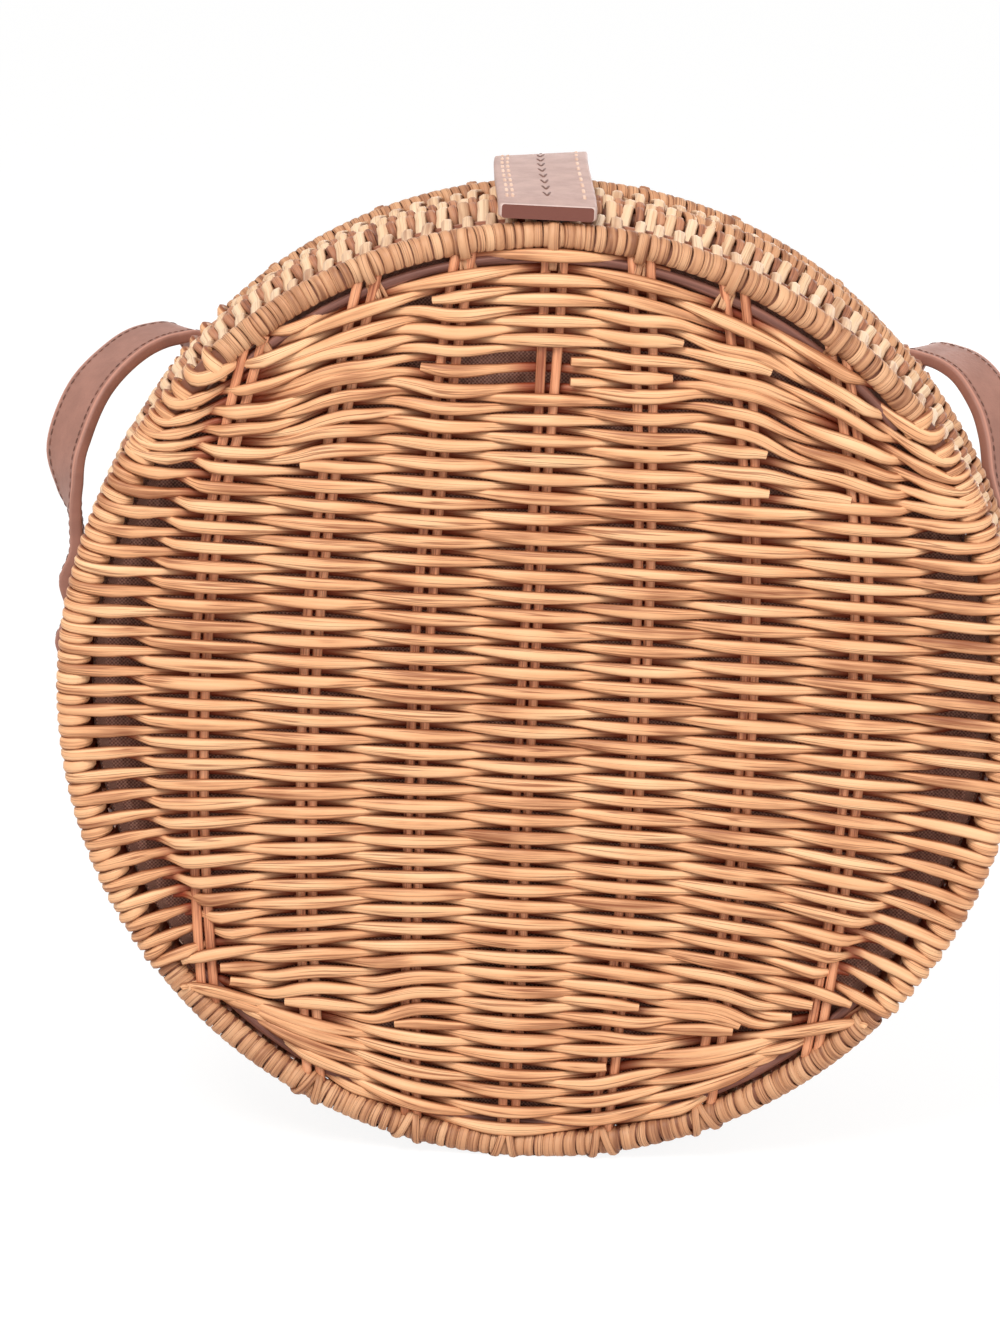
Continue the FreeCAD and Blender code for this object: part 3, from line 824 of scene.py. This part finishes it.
def on_cane(turn):
    """Where the back lip is bound with cane: down its right side, from near the top."""
    degrees = np.degrees((turn + np.pi) % (2 * np.pi) - np.pi)
    return (degrees > CANE_ARC[0]) & (degrees < CANE_ARC[1])


def lip_cane(name, side, seed):
    """Cane wrapped round the right of the back lip, over its lacing, where the lip stands out a little."""
    random = np.random.default_rng(seed)
    first, last = np.radians(CANE_ARC)
    turn, wide = wraps_along(random, LIP_RING, (first, last), 1.9, 2.6)
    ends = smoothstep(0, 0.25, turn - first) * smoothstep(0, 0.25, last - turn)
    slant = random.normal(size=len(turn)) * 0.004 + 0.005
    radius = LACE_PATH + 0.25
    ring = (LACE_RING + CANE_STAND_OUT * ends)[:, None]
    loops = wrap_paths(turn, slant, ring, side * (LIP_Y + 0.3), radius, 14)
    tone = random.random(len(turn))
    along, half = round_tangent(turn[:, None]), wide[:, None] * 0.53
    return strands(name, loops, along, half, 0.7, 7, tone, 0.0, closed=True, floor=wall_ground)


def lining(name, side):
    """Fabric cup: a profile from its floor's middle out to the wall and up to its edge, carried round Y.

    The profile is rounded where the floor meets the wall and rolled inwards at the edge. Its
    points run out along the inside and back along the outside, so that the cup has a thickness,
    and small puckers draw it in round the wall.
    """
    wall, floor, edge = LINING_RADIUS, LINING_FLOOR, LINING_EDGE
    inside = [
        (0.0, floor - 0.7), (40, floor - 0.7), (75, floor - 0.72), (wall - 6, floor - 0.75),
        (wall - 1.9, floor - 1.5), (wall - 1.0, floor - 4), (wall - 0.8, 18), (wall - 0.9, 10),
        (wall - 0.9, 4.0), (wall - 1.3, 2.6), (wall - 1.4, edge + 0.6), (wall - 0.7, edge),
    ]
    outside = [
        (wall - 0.05, edge + 0.5), (wall, 4.0), (wall, 10), (wall, 18), (wall, floor - 3),
        (wall - 0.7, floor - 0.6), (wall - 3, floor), (75, floor), (40, floor), (0.0, floor),
    ]
    profile = catmull(inside + outside, 4)
    profile[:, 0] = np.clip(profile[:, 0], 0.02, None)
    a = np.linspace(0, 2 * np.pi, 180, endpoint=False)
    radius, depth = profile.T[..., None]
    pucker = 0.18 * smoothstep(80, 98, radius) * np.sin(36 * a) * smoothstep(2.0, 8.0, depth)
    points = on_wall(a, radius - np.abs(pucker), side * depth)
    index = np.arange(points[..., 0].size).reshape(1, len(profile), len(a))
    quads = ring_faces(index, False)
    if side > 0:
        quads = quads[:, ::-1]
    up_wall = (radius > wall - 2.7)[..., None]
    wall_uv = np.stack(np.broadcast_arrays(a * wall, run_length(profile)[:, None]), -1)
    corners = quad_corners(np.where(up_wall, wall_uv, points[..., [0, 2]])).reshape(-1, 4, 2)
    if side > 0:
        corners = corners[:, ::-1]
    return put_mesh(name, points, [quads], [corners], [True], {})


# Materials

# Colour of painted shade where a strand passes behind, and the seams' distance from the strap's middle
BEHIND_SHADE_COLOUR = (140, 38, 6)
STRAP_SEAM = 5.6


class Value:
    """A node's output that Python arithmetic works on: each operator adds a Math node."""

    def __init__(self, finish, socket):
        self.finish = finish
        self.socket = socket

    def __add__(self, other):
        return self.finish.maths("ADD", self, other)

    def __sub__(self, other):
        return self.finish.maths("SUBTRACT", self, other)

    def __rsub__(self, other):
        return self.finish.maths("SUBTRACT", other, self)

    def __mul__(self, other):
        return self.finish.maths("MULTIPLY", self, other)

    def __abs__(self):
        return self.finish.maths("ABSOLUTE", self, 0.0)

    __radd__ = __add__
    __rmul__ = __mul__


class Finish:
    """The nodes of a new material, or of the holder given. node() adds any node, and maths() a Math node."""

    def __init__(self, name, holder=None):
        self.holder = holder or bpy.data.materials.new(name)
        self.holder.use_nodes = True
        self.tree = self.holder.node_tree
        self.tree.nodes.clear()

    def node(self, kind, settings=None, inputs=None, out=0):
        """A new node: its settings first, then the values or links of its sockets."""
        made = self.tree.nodes.new("ShaderNode" + kind)
        for key, value in (settings or {}).items():
            if key == "stops":
                ramp = made.color_ramp.elements
                while len(ramp) < len(value):
                    ramp.new(0.5)
                for stop, (place, colour) in zip(ramp, value):
                    stop.position = place
                    stop.color = (*colour, 1.0)
            else:
                setattr(made, key, value)
        for key, value in (inputs or {}).items():
            if isinstance(value, Value):
                self.tree.links.new(value.socket, made.inputs[key])
            else:
                made.inputs[key].default_value = value
        return Value(self, made.outputs[out]) if len(made.outputs) else None

    def maths(self, operation, first, second):
        return self.node("Math", {"operation": operation}, {0: first, 1: second})

    def clamp(self, value, low, high):
        """Value spread from low..high to 0..1, eased, and held outside."""
        settings = {"interpolation_type": "SMOOTHSTEP"}
        return self.node("MapRange", settings, {"Value": value, "From Min": low, "From Max": high})

    def mix(self, share, first, second):
        """Colour that goes from the first to the second by a share."""
        return self.node("Mix", {"data_type": "RGBA"}, {0: share, 6: first, 7: second}, out=2)

    def attribute(self, name):
        return self.node("Attribute", {"attribute_name": name}, out=2)

    def noise(self, place, scale, detail=2.0, rough=0.5):
        inputs = {"Vector": place, "Scale": scale, "Detail": detail, "Roughness": rough}
        return self.node("TexNoise", {"noise_dimensions": "3D"}, inputs)

    def uv(self):
        """The two UV values, apart."""
        held = self.node("UVMap", {"uv_map": "UVMap"})
        first = self.node("SeparateXYZ", {}, {0: held})
        return first, Value(self, first.socket.node.outputs[1])

    def vector(self, x, y, z):
        return self.node("CombineXYZ", {}, {0: x, 1: y, 2: z})

    def bump(self, height, strength, distance):
        return self.node("Bump", {}, {"Height": height, "Strength": strength, "Distance": distance})

    def seen(self):
        """1 on rays from the camera and on those that metal and glass pass on, and 0 on others."""
        kinds = ("Is Camera Ray", "Is Glossy Ray", "Is Transmission Ray")
        camera_ray, glossy_ray, through_ray = (self.node("LightPath", out=kind) for kind in kinds)
        return self.clamp(camera_ray + glossy_ray + through_ray, 0.0, 1.0)

    def surface(self, inputs):
        """Ends the material in one principled shader."""
        shader = self.node("BsdfPrincipled", {}, inputs)
        self.node("OutputMaterial", {}, {"Surface": shader})
        return self.holder


def srgb(red, green, blue):
    """Linear colour of an sRGB one given from 0 to 255, with alpha."""
    parts = np.array([red, green, blue]) / 255
    linear = np.where(parts <= 0.04045, parts / 12.92, ((parts + 0.055) / 1.055) ** 2.4)
    return (*[float(c) for c in linear], 1.0)


def rattan(name, light, mid, dark, streaks=1.0, lines=7.0, edge_shade=0.45, edge=0.84):
    """Split rattan: lengthwise grain, a few dark fibre lines, blotches from strand to strand.

    Grain is noise stretched along u, so a strand's fibres run with it; tone sets one strand apart
    from the next, and painted shade darkens it where it passes behind. The outline is painted
    shade on the strand's two edges, where the cosine of the way round is near 1 or -1.
    """
    f = Finish(name)
    u, v = f.uv()
    tone, deep = f.attribute("tone"), f.attribute("deep")
    grain = f.noise(f.vector(u * 0.035, v * lines, tone * 61.0), 1.0, 3.0, 0.6)
    fibre = f.noise(f.vector(u * 0.016, v * 9.0, tone * 83.0 + 11.0), 1.0, 1.0, 0.4)
    line = 1.0 - f.clamp(abs(fibre - 0.5), 0.004, 0.03)
    blotch = f.noise(f.vector(u * 0.05, v * 0.6, tone * 37.0), 1.0, 2.0, 0.5)
    shade = f.clamp(grain * 0.7 + blotch * 0.5 + tone * 0.12, 0.35, 0.95)
    stops = [(0.0, srgb(*dark)[:3]), (0.45, srgb(*mid)[:3]), (1.0, srgb(*light)[:3])]
    colour = f.node("ValToRGB", {"stops": stops}, {"Fac": shade})
    colour = f.mix(line * (0.62 * streaks), colour, srgb(*dark))
    # Painted shade along the strand's two edges, where its surface turns away
    rim = abs(f.maths("COSINE", v * 6.283 + 0.42, 0.0))
    colour = f.mix(f.clamp(rim, edge, 0.99) * edge_shade, colour, srgb(*dark))
    # Painted shade: towards a dark red-brown where the strand passes behind
    colour = f.mix(f.clamp(deep, 0.0, 1.0) * 0.85, colour, srgb(*BEHIND_SHADE_COLOUR))
    height = grain * 0.5 + (1.0 - line) * 0.5
    gloss = grain * 0.22 + 0.42
    return f.surface({
        "Base Color": colour, "Roughness": gloss, "Normal": f.bump(height, 0.35, 0.0003),
        "Specular IOR Level": 0.35,
    })


def leather(name, face, edge, tip, grooves=(), border=None, grain_scale=900.0):
    """Grained leather: cells of grain over soft clouds of colour, with its edges, ends and sewn grooves.

    A groove is a dark line at a distance from the middle of the band, to either side, and the
    border a paler one, painted highlight along the rounded corner of the face.
    """
    f = Finish(name)
    u, v = f.uv()
    place = f.vector(u * 0.001, v * 0.001, 0.0)
    cells = f.node("TexVoronoi", {"feature": "F1"}, {"Vector": place, "Scale": grain_scale})
    pores = f.noise(place, grain_scale * 2.4, 2.0, 0.6)
    clouds = f.noise(place, 160.0, 4.0, 0.6)
    darker = [c * 0.90 for c in srgb(*face)[:3]]
    lighter = [min(1.0, c * 1.09) for c in srgb(*face)[:3]]
    colour = f.mix(f.clamp(clouds, 0.3, 0.7), (*darker, 1.0), (*lighter, 1.0))
    colour = f.mix(f.clamp(pores, 0.6, 0.75) * 0.3, colour, srgb(*tip))
    height = cells * 0.7 + pores * 0.5
    across = abs(v)
    for groove in grooves:
        line = 1.0 - f.clamp(abs(across - groove), 0.2, 0.5)
        colour = f.mix(line * 0.25, colour, srgb(*tip))
        height = height - line * 3.0
    colour = f.mix(f.attribute("edge"), colour, srgb(*edge))
    # Painted highlight: a pale line along the rounded corner of the face, where the edge catches the light
    if border:
        painted_highlight = 1.0 - f.clamp(abs(across - border), 0.1, 0.5)
        pale = [min(1.0, c * 1.7) for c in srgb(*face)[:3]]
        colour = f.mix(painted_highlight * 0.8, colour, (*pale, 1.0))
    colour = f.mix(f.attribute("tip"), colour, srgb(*tip))
    return f.surface({
        "Base Color": colour, "Roughness": 0.62 - clouds * 0.15,
        "Normal": f.bump(height, 0.25, 0.0002), "Specular IOR Level": 0.4,
    })


def cloth(name, light, dark):
    """Plain woven cotton: two sets of threads as waves over and under each other."""
    f = Finish(name)
    u, v = f.uv()
    warp = f.maths("SINE", u * 7.4, 0.0)
    weft = f.maths("SINE", v * 7.4, 0.0)
    weave = warp * weft * 0.5 + 0.5
    place = f.vector(u * 0.02, v * 0.02, 0.0)
    slub = f.noise(f.vector(u * 0.9, v * 0.12, 0.0), 1.0, 2.0, 0.5)
    clouds = f.noise(place, 1.0, 2.0, 0.5)
    share = f.clamp(weave * 0.5 + slub * 0.5 + clouds * 0.3, 0.3, 1.0)
    colour = f.mix(share, srgb(*dark), srgb(*light))
    return f.surface({
        "Base Color": colour, "Roughness": 0.92, "Normal": f.bump(weave + slub * 0.6, 0.5, 0.0003),
        "Sheen Weight": 0.15, "Specular IOR Level": 0.2,
    })


def metal(name, bright, dull, rough):
    """Worn metal: clouds of tarnish and fine scratches over a bright base."""
    f = Finish(name)
    place = f.node("TexCoord", out="Object")
    clouds = f.noise(place, 260.0, 3.0, 0.6)
    fine = f.noise(place, 2400.0, 2.0, 0.5)
    colour = f.mix(f.clamp(clouds, 0.35, 0.7), srgb(*bright), srgb(*dull))
    return f.surface({
        "Base Color": colour, "Metallic": 1.0, "Roughness": clouds * 0.25 + fine * 0.1 + rough,
        "Normal": f.bump(fine, 0.1, 0.0001),
    })


def rod_finish(name, light, dark):
    """Plain rod under the wraps: grain by place, for the solids that have no UV of their own."""
    f = Finish(name)
    place = f.node("TexCoord", out="Object")
    clouds = f.noise(place, 220.0, 3.0, 0.6)
    colour = f.mix(clouds, srgb(*dark), srgb(*light))
    return f.surface({"Base Color": colour, "Roughness": 0.6, "Normal": f.bump(clouds, 0.2, 0.0003)})


WEFT = rattan("weft_rattan", (249, 201, 153), (234, 172, 124), (138, 74, 40), 1.15, 7.0, 0.95, 0.70)
CANE = rattan("binding_cane", (224, 174, 132), (200, 144, 104), (118, 66, 40), 1.2, 4.0, 0.85)
PEG = rattan("wall_rattan", (246, 216, 182), (236, 196, 156), (170, 116, 82), 0.7, 5.0, 0.6)
WALL_ROD = rattan("wall_rod_rattan", (204, 148, 112), (180, 120, 88), (104, 56, 38))
# The inner hoop's dark brown is partly painted shade, for the shaded band between the binding and the rows
INNER_ROD = rattan("inner_hoop_rattan", (158, 108, 92), (132, 86, 72), (84, 46, 38))
STAKE = rattan("stake_rattan", (246, 180, 136), (226, 152, 110), (136, 68, 42))
# The hoop rods' dark brown is painted shade, where they show between the wraps
SHADED_HOOP = rod_finish("hoop_rod", (150, 90, 60), (84, 42, 26))
LINING = cloth("lining_cotton", (202, 150, 130), (116, 78, 64))
# The tab's pale edge colour is partly painted highlight, along the bevel of its front border
TAB = leather("tab_leather", (185, 150, 139), (232, 206, 195), (116, 66, 54))
STRAP = leather("strap_leather", (160, 112, 96), (136, 84, 70), (92, 52, 44), (STRAP_SEAM,), 6.85)
HINGE = leather("hinge_leather", (150, 106, 88), (110, 70, 58), (110, 70, 58))
THREAD = rattan("thread", (244, 212, 190), (232, 192, 166), (196, 146, 120), 0.0, 3.0, 0.0)
# Dark thread; on the tab's chain its darkness is painted shade, that thread being the same as the pale rows
DARK_THREAD = rattan("dark_thread", (132, 88, 74), (110, 70, 56), (78, 46, 36), 0.0, 3.0, 0.0)
BRASS = metal("rivet_brass", (206, 170, 112), (140, 104, 62), 0.25)
STEEL = metal("catch_steel", (200, 198, 194), (150, 146, 142), 0.2)


def dress(piece, material, slot, body, *nodes):
    """Gives a new piece its finish, its body unless it is blended, and the nodes it stands for; slot is not
    used.
    """
    piece.data.materials.append(material)
    if body:
        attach(piece, body)
    if nodes:
        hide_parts(*nodes)
    return piece


# The two halves

for half, side in SIDES.items():
    body = half + "_half"
    seed = SEEDS[half]
    face = Face(side, seed)
    dress(face.wefts(half + "_wefts"), WEFT, "rattan_weave", body, half + "_face_weave")
    dress(face.stakes(half + "_stake_rods"), STAKE, "stake_rod", body, half + "_stakes")
    dress(face.rim_loops(half + "_rim_loops"), WEFT, "rattan_weave", body)
    dress(face.binding(half + "_rim_cane"), CANE, "cane_binding", body, half + "_face_binding")
    dress(face.knots(half + "_rim_knots"), CANE, "cane_binding", body)
    dress(face.foot_ties(half + "_foot_ties"), CANE, "cane_binding", body)
    dress(face.inner_hoop(half + "_inner_hoop"), INNER_ROD, "hoop_rod", body)
    dress(wall_pegs(half + "_wall_pegs", side, seed + 1), PEG, "rattan_wall", body, half + "_side_wall")
    dress(wall_lacing(half + "_wall_lacing", side, seed + 2), PEG, "rattan_wall", body)
    dress(wall_rod(half + "_wall_rod", side, seed + 3), WALL_ROD, "rattan_wall", body)
    wraps = lip_wraps(half + "_lip_wraps", side, seed + 4)
    dress(wraps, WALL_ROD, "cane_binding", body, half + "_lip_binding")
    cup = dress(lining(half + "_lining_cloth", side), LINING, "lining_fabric", body, half + "_lining")

dress(lip_cane("back_lip_cane", SIDES["back"], LIP_CANE_SEED), CANE, "cane_binding", "back_half")

# Closure tab and its root: one leather strip, up the back, over the fold and forward over the top
TAB_LINE = [
    (35.6, 78.2), (35.6, 88.0), (35.6, 98.0), (35.6, 104.6), (35.35, 106.4), (34.5, 107.5), (33.2, 108.1),
    (30.5, 108.35), (22.0, 108.6), (11.0, 108.72), (0.0, 108.70), (-11.0, 108.50), (-22.0, 108.05),
    (-33.4, 107.3),
]
TAB_HALF = 10.5
TAB_TOP = 108.0
# Place of the tab's back and front from the middle, to the right, and degrees it is turned there
TAB_BACK_SHIFT = -4.0
TAB_FRONT_SHIFT = -0.9
TAB_TWIST = (-4.5, 2.0)
TAB_CORNER = 0.7
# How much higher than TAB_LINE it lies at the front and past the fold, half its thickness on the back,
# and how much more that is past the fold
TAB_FRONT_LIFT = 0.5
TAB_FOLD_LIFT = 0.9
TAB_THICK = 1.3
TAB_MORE_THICK = 0.2
line = catmull([(0.0, y, z) for y, z in TAB_LINE], 8)
to_front = smoothstep(33.0, -45.0, line[:, 1])
line[:, 0] = TAB_BACK_SHIFT + (TAB_FRONT_SHIFT - TAB_BACK_SHIFT) * to_front
over_fold = smoothstep(101.0, TAB_TOP, line[:, 2]) * smoothstep(-20.0, 30.0, line[:, 1])
line[:, 2] += TAB_FRONT_LIFT * to_front + TAB_FOLD_LIFT * over_fold
corner = np.clip(TAB_CORNER - run_length(line[::-1])[::-1], 0, TAB_CORNER)
tab_half = TAB_HALF - (TAB_CORNER - np.sqrt(TAB_CORNER ** 2 - corner ** 2))
tab_thick = smoothstep(104.0, 107.0, line[:, 2]) * TAB_MORE_THICK + TAB_THICK
twist = np.radians(TAB_TWIST[0] + (TAB_TWIST[1] - TAB_TWIST[0]) * to_front)
tab_across = np.stack([-np.cos(twist), np.zeros_like(twist), np.sin(twist)], -1)
tab = band("closure_tab_leather", line, tab_across, tab_half, tab_thick, 0.6, 5)
dress(tab, TAB, "tab_leather", None, "tab_upper_leather", "tab_lower_leather", "tab_root")
# Rows of stitches: distance across, face and slant
tab_rows = [(8.6, -1, 0.0), (7.4, -1, 0.0), (-8.0, -1, 0.0), (8.0, 1, 0.0), (-8.0, 1, 0.0)]
tab_stitches = seam("closure_tab_stitches", line, tab_across, tab_thick, tab_rows, 6.2, 4.4, 0.42)
dress(tab_stitches, THREAD, "tab_leather", None)
# The chain's dark thread is painted shade: the same thread as the pale rows, darkened
chain_rows = [(0.4, -1, -0.9), (-0.4, -1, 0.9)]
tab_chain = seam("closure_tab_chain", line, tab_across, tab_thick, chain_rows, 7.0, 5.0)
dress(tab_chain, DARK_THREAD, "tab_leather", None)
# The magnet lies inside the leather, where the tab's line passes over its node
magnet_low, magnet_high = node_box("tab_magnet")
magnet_y = (magnet_low[1] + magnet_high[1]) / 2
magnet_foot = line[np.argmin(np.hypot(line[:, 1] - magnet_y, line[:, 2] - TAB_TOP))]
magnet_wide, _, magnet_half = (magnet_high - magnet_low) / 2
MAGNET = [
    (0.02, -magnet_half), (magnet_wide - 0.1, -magnet_half), (magnet_wide, 0.1 - magnet_half),
    (magnet_wide, magnet_half - 0.1), (magnet_wide - 0.1, magnet_half), (0.02, magnet_half),
]
magnet = studs("tab_magnet_disc", [magnet_foot], [(0, 0, 1)], MAGNET, 32)
dress(magnet, STEEL, "catch_steel", "closure_tab", "tab_magnet")
for piece in (tab, tab_stitches, tab_chain):
    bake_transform(piece)

# Strap: one flat leather band from the left end, over the arch, down behind the bag and back. Its ends'
# depth on the wall, half thickness, half width, and how far behind the back rim it hangs
STRAP_DEPTH = 17.125
STRAP_THICK = 1.4
STRAP_HALF = 7.5
STRAP_BEHIND = 12.0
# Radius and height of the strap ends, which stand off the wall a little between their rivets
STRAP_END = [(106.2, -11.0), (107.0, -6.4), (109.8, -0.5), (107.3, 6.4), (108.9, 13.5)]
# Free part of each arch: out past the rim, behind the back rim, above the centre, and turn of the width
LEFT_ARCH = [
    (1.6, -16.5, 20.0, 4.0), (2.0, -15.6, 27.0, 8.0), (3.3, -14.5, 33.5, 22.0), (4.1, -11.5, 43.0, 36.0),
    (-0.1, -6.0, 54.5, 37.0), (-7.4, 1.5, 62.0, 34.0), (-14.8, 8.5, 64.9, 38.0), (-22.0, 12.0, 63.4, 36.0),
]
RIGHT_ARCH = [
    (1.2, -16.5, 20.0, 4.0), (0.8, -15.6, 27.0, 8.0), (-1.2, -14.5, 33.5, 22.0), (-2.4, -12.0, 42.0, 36.0),
    (-3.4, -9.0, 50.5, 38.0), (-5.6, -5.0, 57.2, 38.0), (-10.0, 1.5, 62.8, 36.0), (-16.0, 8.0, 65.2, 40.0),
    (-23.0, 12.0, 64.0, 36.0),
]
# Hanging part: aside and up as shares of the bag's radius, and turn of the width
STRAP_HANG = [
    (0.725, 0.479, 28.0), (0.664, 0.341, 16.0), (0.616, 0.171, 8.0), (0.569, -0.038, 4.0),
    (0.512, -0.284, 2.0), (0.427, -0.531, 0.0), (0.303, -0.730, 0.0), (0.152, -0.844, 0.0),
]
STRAP_LOW = -0.882
BAG_RADIUS = 105.5
HALF_DEPTH = 34.0


def strap_half(hand, arch):
    """Points of one half of the strap, from its end on the wall to near the lowest point: x, y, z, turn."""
    ends = [(radius, STRAP_DEPTH, z, 0.0) for radius, z in STRAP_END]
    free = [(BAG_RADIUS + out, HALF_DEPTH + behind, up, turn) for out, behind, up, turn in arch]
    hang = [(x * BAG_RADIUS, HALF_DEPTH + STRAP_BEHIND, z * BAG_RADIUS, turn) for x, z, turn in STRAP_HANG]
    return [(hand * x, y, z, -hand * turn) for x, y, z, turn in ends + free + hang]


route = strap_half(-1, LEFT_ARCH) + [(0.0, HALF_DEPTH + STRAP_BEHIND, STRAP_LOW * BAG_RADIUS, 0.0)]
route = catmull(route + strap_half(1, RIGHT_ARCH)[::-1], 8)
lean = np.radians(route[:, 3])
strap_across = np.stack([-np.sin(lean), np.cos(lean), np.zeros_like(lean)], -1)
strap = band("strap_leather_band", route[:, :3], strap_across, STRAP_HALF, STRAP_THICK, 0.7, 5)
dress(strap, STRAP, "strap_leather", None, "strap_left_arch", "strap_right_arch", "strap_rear_loop")
strap_rows = [(offset, face, 0.0) for offset in (-STRAP_SEAM, STRAP_SEAM) for face in (-1, 1)]
strap_stitches = seam("strap_stitches", route[:, :3], strap_across, STRAP_THICK, strap_rows, 2.0, 1.5)
dress(strap_stitches, DARK_THREAD, "strap_leather", None)
for piece in (strap, strap_stitches):
    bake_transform(piece)

# Rivets with domed heads, and the catch: radius and height from low to high
RIVET = [
    (0.02, -8.6), (2.9, -8.6), (3.0, -8.5), (3.0, -7.9), (2.9, -7.8), (1.5, -7.8), (1.5, -0.1),
    (2.85, -0.1), (3.0, 0.05), (2.95, 0.25), (2.6, 0.6), (1.9, 0.9), (1.0, 1.06), (0.02, 1.1),
]
LEATHER_BACK = 36.9
ROOT_RIVET_HEIGHT = 86.9
ROOT_RIVET_ASIDE = 6.0
root_sides = (-ROOT_RIVET_ASIDE, ROOT_RIVET_ASIDE)
root_feet = [(x + TAB_BACK_SHIFT, LEATHER_BACK, ROOT_RIVET_HEIGHT) for x in root_sides]
root = studs("tab_root_studs", root_feet, [(0, 1, 0)] * 2, RIVET)
dress(root, BRASS, "rivet_brass", "back_half", "tab_root_rivets")
for hand, name in ((-1, "left"), (1, "right")):
    feet = [(hand * (radius + STRAP_THICK), STRAP_DEPTH, z) for radius, z in (STRAP_END[1], STRAP_END[3])]
    ends = studs("strap_" + name + "_studs", feet, [(hand, 0, 0)] * 2, RIVET)
    dress(ends, BRASS, "rivet_brass", "back_half", "strap_" + name + "_rivets")
button_low, button_high = node_box("catch_button")
button_foot = (button_low + button_high) / 2
button_foot[2] = button_high[2]
rim, foot = (button_high - button_low)[0] / 2, button_low[2] - button_high[2]
BUTTON = [
    (0.02, foot), (1.4, foot), (1.5, foot + 0.1), (1.5, -2.6), (rim - 0.4, -2.6), (rim - 0.1, -2.5),
    (rim, -2.2), (rim, -0.5), (rim - 0.12, -0.2), (rim - 0.5, 0.0), (3.4, 0.0), (3.2, -0.06), (3.0, -0.35),
    (2.8, -0.4), (0.02, -0.4),
]
catch = studs("catch_stud", [button_foot], [(0, 0, 1)], BUTTON, 32)
dress(catch, STEEL, "catch_steel", "front_half", "catch_button")

# Hinge strip: one leather strip under the lips
HINGE_REACH = 24.0
HINGE_HALF = 10.0
HINGE_HEIGHT = 0.5
strip_line = np.zeros((41, 3))
strip_line[:, 1] = np.linspace(-HINGE_REACH, HINGE_REACH, 41)
strip_line[:, 2] = HINGE_HEIGHT - CENTRE_HEIGHT
strip = band("hinge_strip_leather", strip_line, np.array([1.0, 0, 0]), HINGE_HALF, 0.45, 0.2, 3)
dress(strip, HINGE, "hinge_leather", None, "front_hinge_strip", "back_hinge_strip")
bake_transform(strip)

# Solids that stay as they are
for node, material in (
    ("front_face_hoop", SHADED_HOOP), ("back_face_hoop", SHADED_HOOP), ("front_lip_hoop", SHADED_HOOP), ("back_lip_hoop", SHADED_HOOP),
    ("catch_back_plate", STEEL),
):
    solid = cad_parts[node]
    solid.data.materials.clear()
    solid.data.materials.append(material)


# Floor, light and camera: the strength of the world's light, and half the side of the floor
WORLD_LIGHT = 0.58
FLOOR_HALF = 3000


def studio():
    """White floor and world that show as white, soft light from above and in front."""
    corners = np.array([[-1, -1, 0], [1, -1, 0], [1, 1, 0], [-1, 1, 0]]) * FLOOR_HALF - (0, 0, CENTRE_HEIGHT)
    floor = put_mesh("floor", corners, [np.array([[0, 1, 2, 3]])], [np.zeros((1, 4, 2))], [False], {})
    f = Finish("floor_white")
    plain = f.node("BsdfDiffuse", {}, {"Color": (0.82, 0.82, 0.82, 1)})
    glow = f.node("Emission", {}, {"Color": (1, 1, 1, 1), "Strength": 0.90})
    shadow = f.node("BsdfDiffuse", {}, {"Color": (0.16, 0.158, 0.155, 1)})
    shown = f.node("AddShader", {}, {0: glow, 1: shadow})
    mixed = f.node("MixShader", {}, {0: f.seen(), 1: plain, 2: shown})
    f.node("OutputMaterial", {}, {"Surface": mixed})
    floor.data.materials.append(f.holder)

    world = bpy.data.worlds.new("studio")
    bpy.context.scene.world = world
    f = Finish("studio", world)
    strength = f.node("MapRange", {}, {"Value": f.seen(), "To Min": WORLD_LIGHT, "To Max": 1.0})
    back = f.node("Background", {}, {"Color": (1, 1, 1, 1), "Strength": strength})
    f.node("OutputWorld", {}, {"Surface": back})

    for name, place, size, power, aim in (
        ("key", (-0.30, -0.70, 1.0), 0.5, 8.9, (0, 0, 0.11)),
        ("fill", (0.8, -0.6, 0.45), 0.7, 2.6, (0, 0, 0.10)),
        ("rear", (0.25, 1.0, 0.16), 0.8, 4.0, (0, 0, 0.11)),
    ):
        lamp = bpy.data.lights.new(name, "AREA")
        lamp.shape = "DISK"
        lamp.size = size
        lamp.energy = power
        holder = bpy.data.objects.new(name, lamp)
        holder.location = place
        holder.rotation_euler = (Vector(aim) - Vector(place)).to_track_quat("-Z", "Y").to_euler()
        bpy.context.scene.collection.objects.link(holder)


def camera():
    """Camera at the photograph's viewing angle: fitted distance, height, turn, roll and framing."""
    distance, focal_px = 1.055, 4698.0
    rise, side_turn, roll = np.radians([14.62, 0.84, 1.5])
    image_wide, image_high = 1000.0, 1333.0
    middle_x, middle_y = 543.5, 665.5
    centre = np.array([0, 0, CENTRE_HEIGHT / 1000])
    level = np.array([math.sin(side_turn), -math.cos(side_turn), 0])
    away = math.cos(rise) * level + (0, 0, math.sin(rise))
    right = unit(np.cross(-away, [0, 0, 1]))
    up = np.cross(right, -away)
    image_right = math.cos(roll) * right + math.sin(roll) * up
    image_up = -math.sin(roll) * right + math.cos(roll) * up
    held = np.eye(4)
    held[:3] = np.stack([image_right, image_up, away, centre + distance * away], -1)
    lens = bpy.data.cameras.new("camera")
    lens.sensor_width = 36.0
    lens.lens = focal_px * lens.sensor_width / image_high
    lens.shift_x = (image_wide / 2 - middle_x) / image_high
    lens.shift_y = (middle_y - image_high / 2) / image_high
    lens.clip_start = 0.05
    lens.clip_end = 20.0
    holder = bpy.data.objects.new("camera", lens)
    holder.matrix_world = Matrix(held)
    bpy.context.scene.collection.objects.link(holder)
    bpy.context.scene.camera = holder


studio()
camera()
bpy.context.scene.view_settings.view_transform = "Standard"
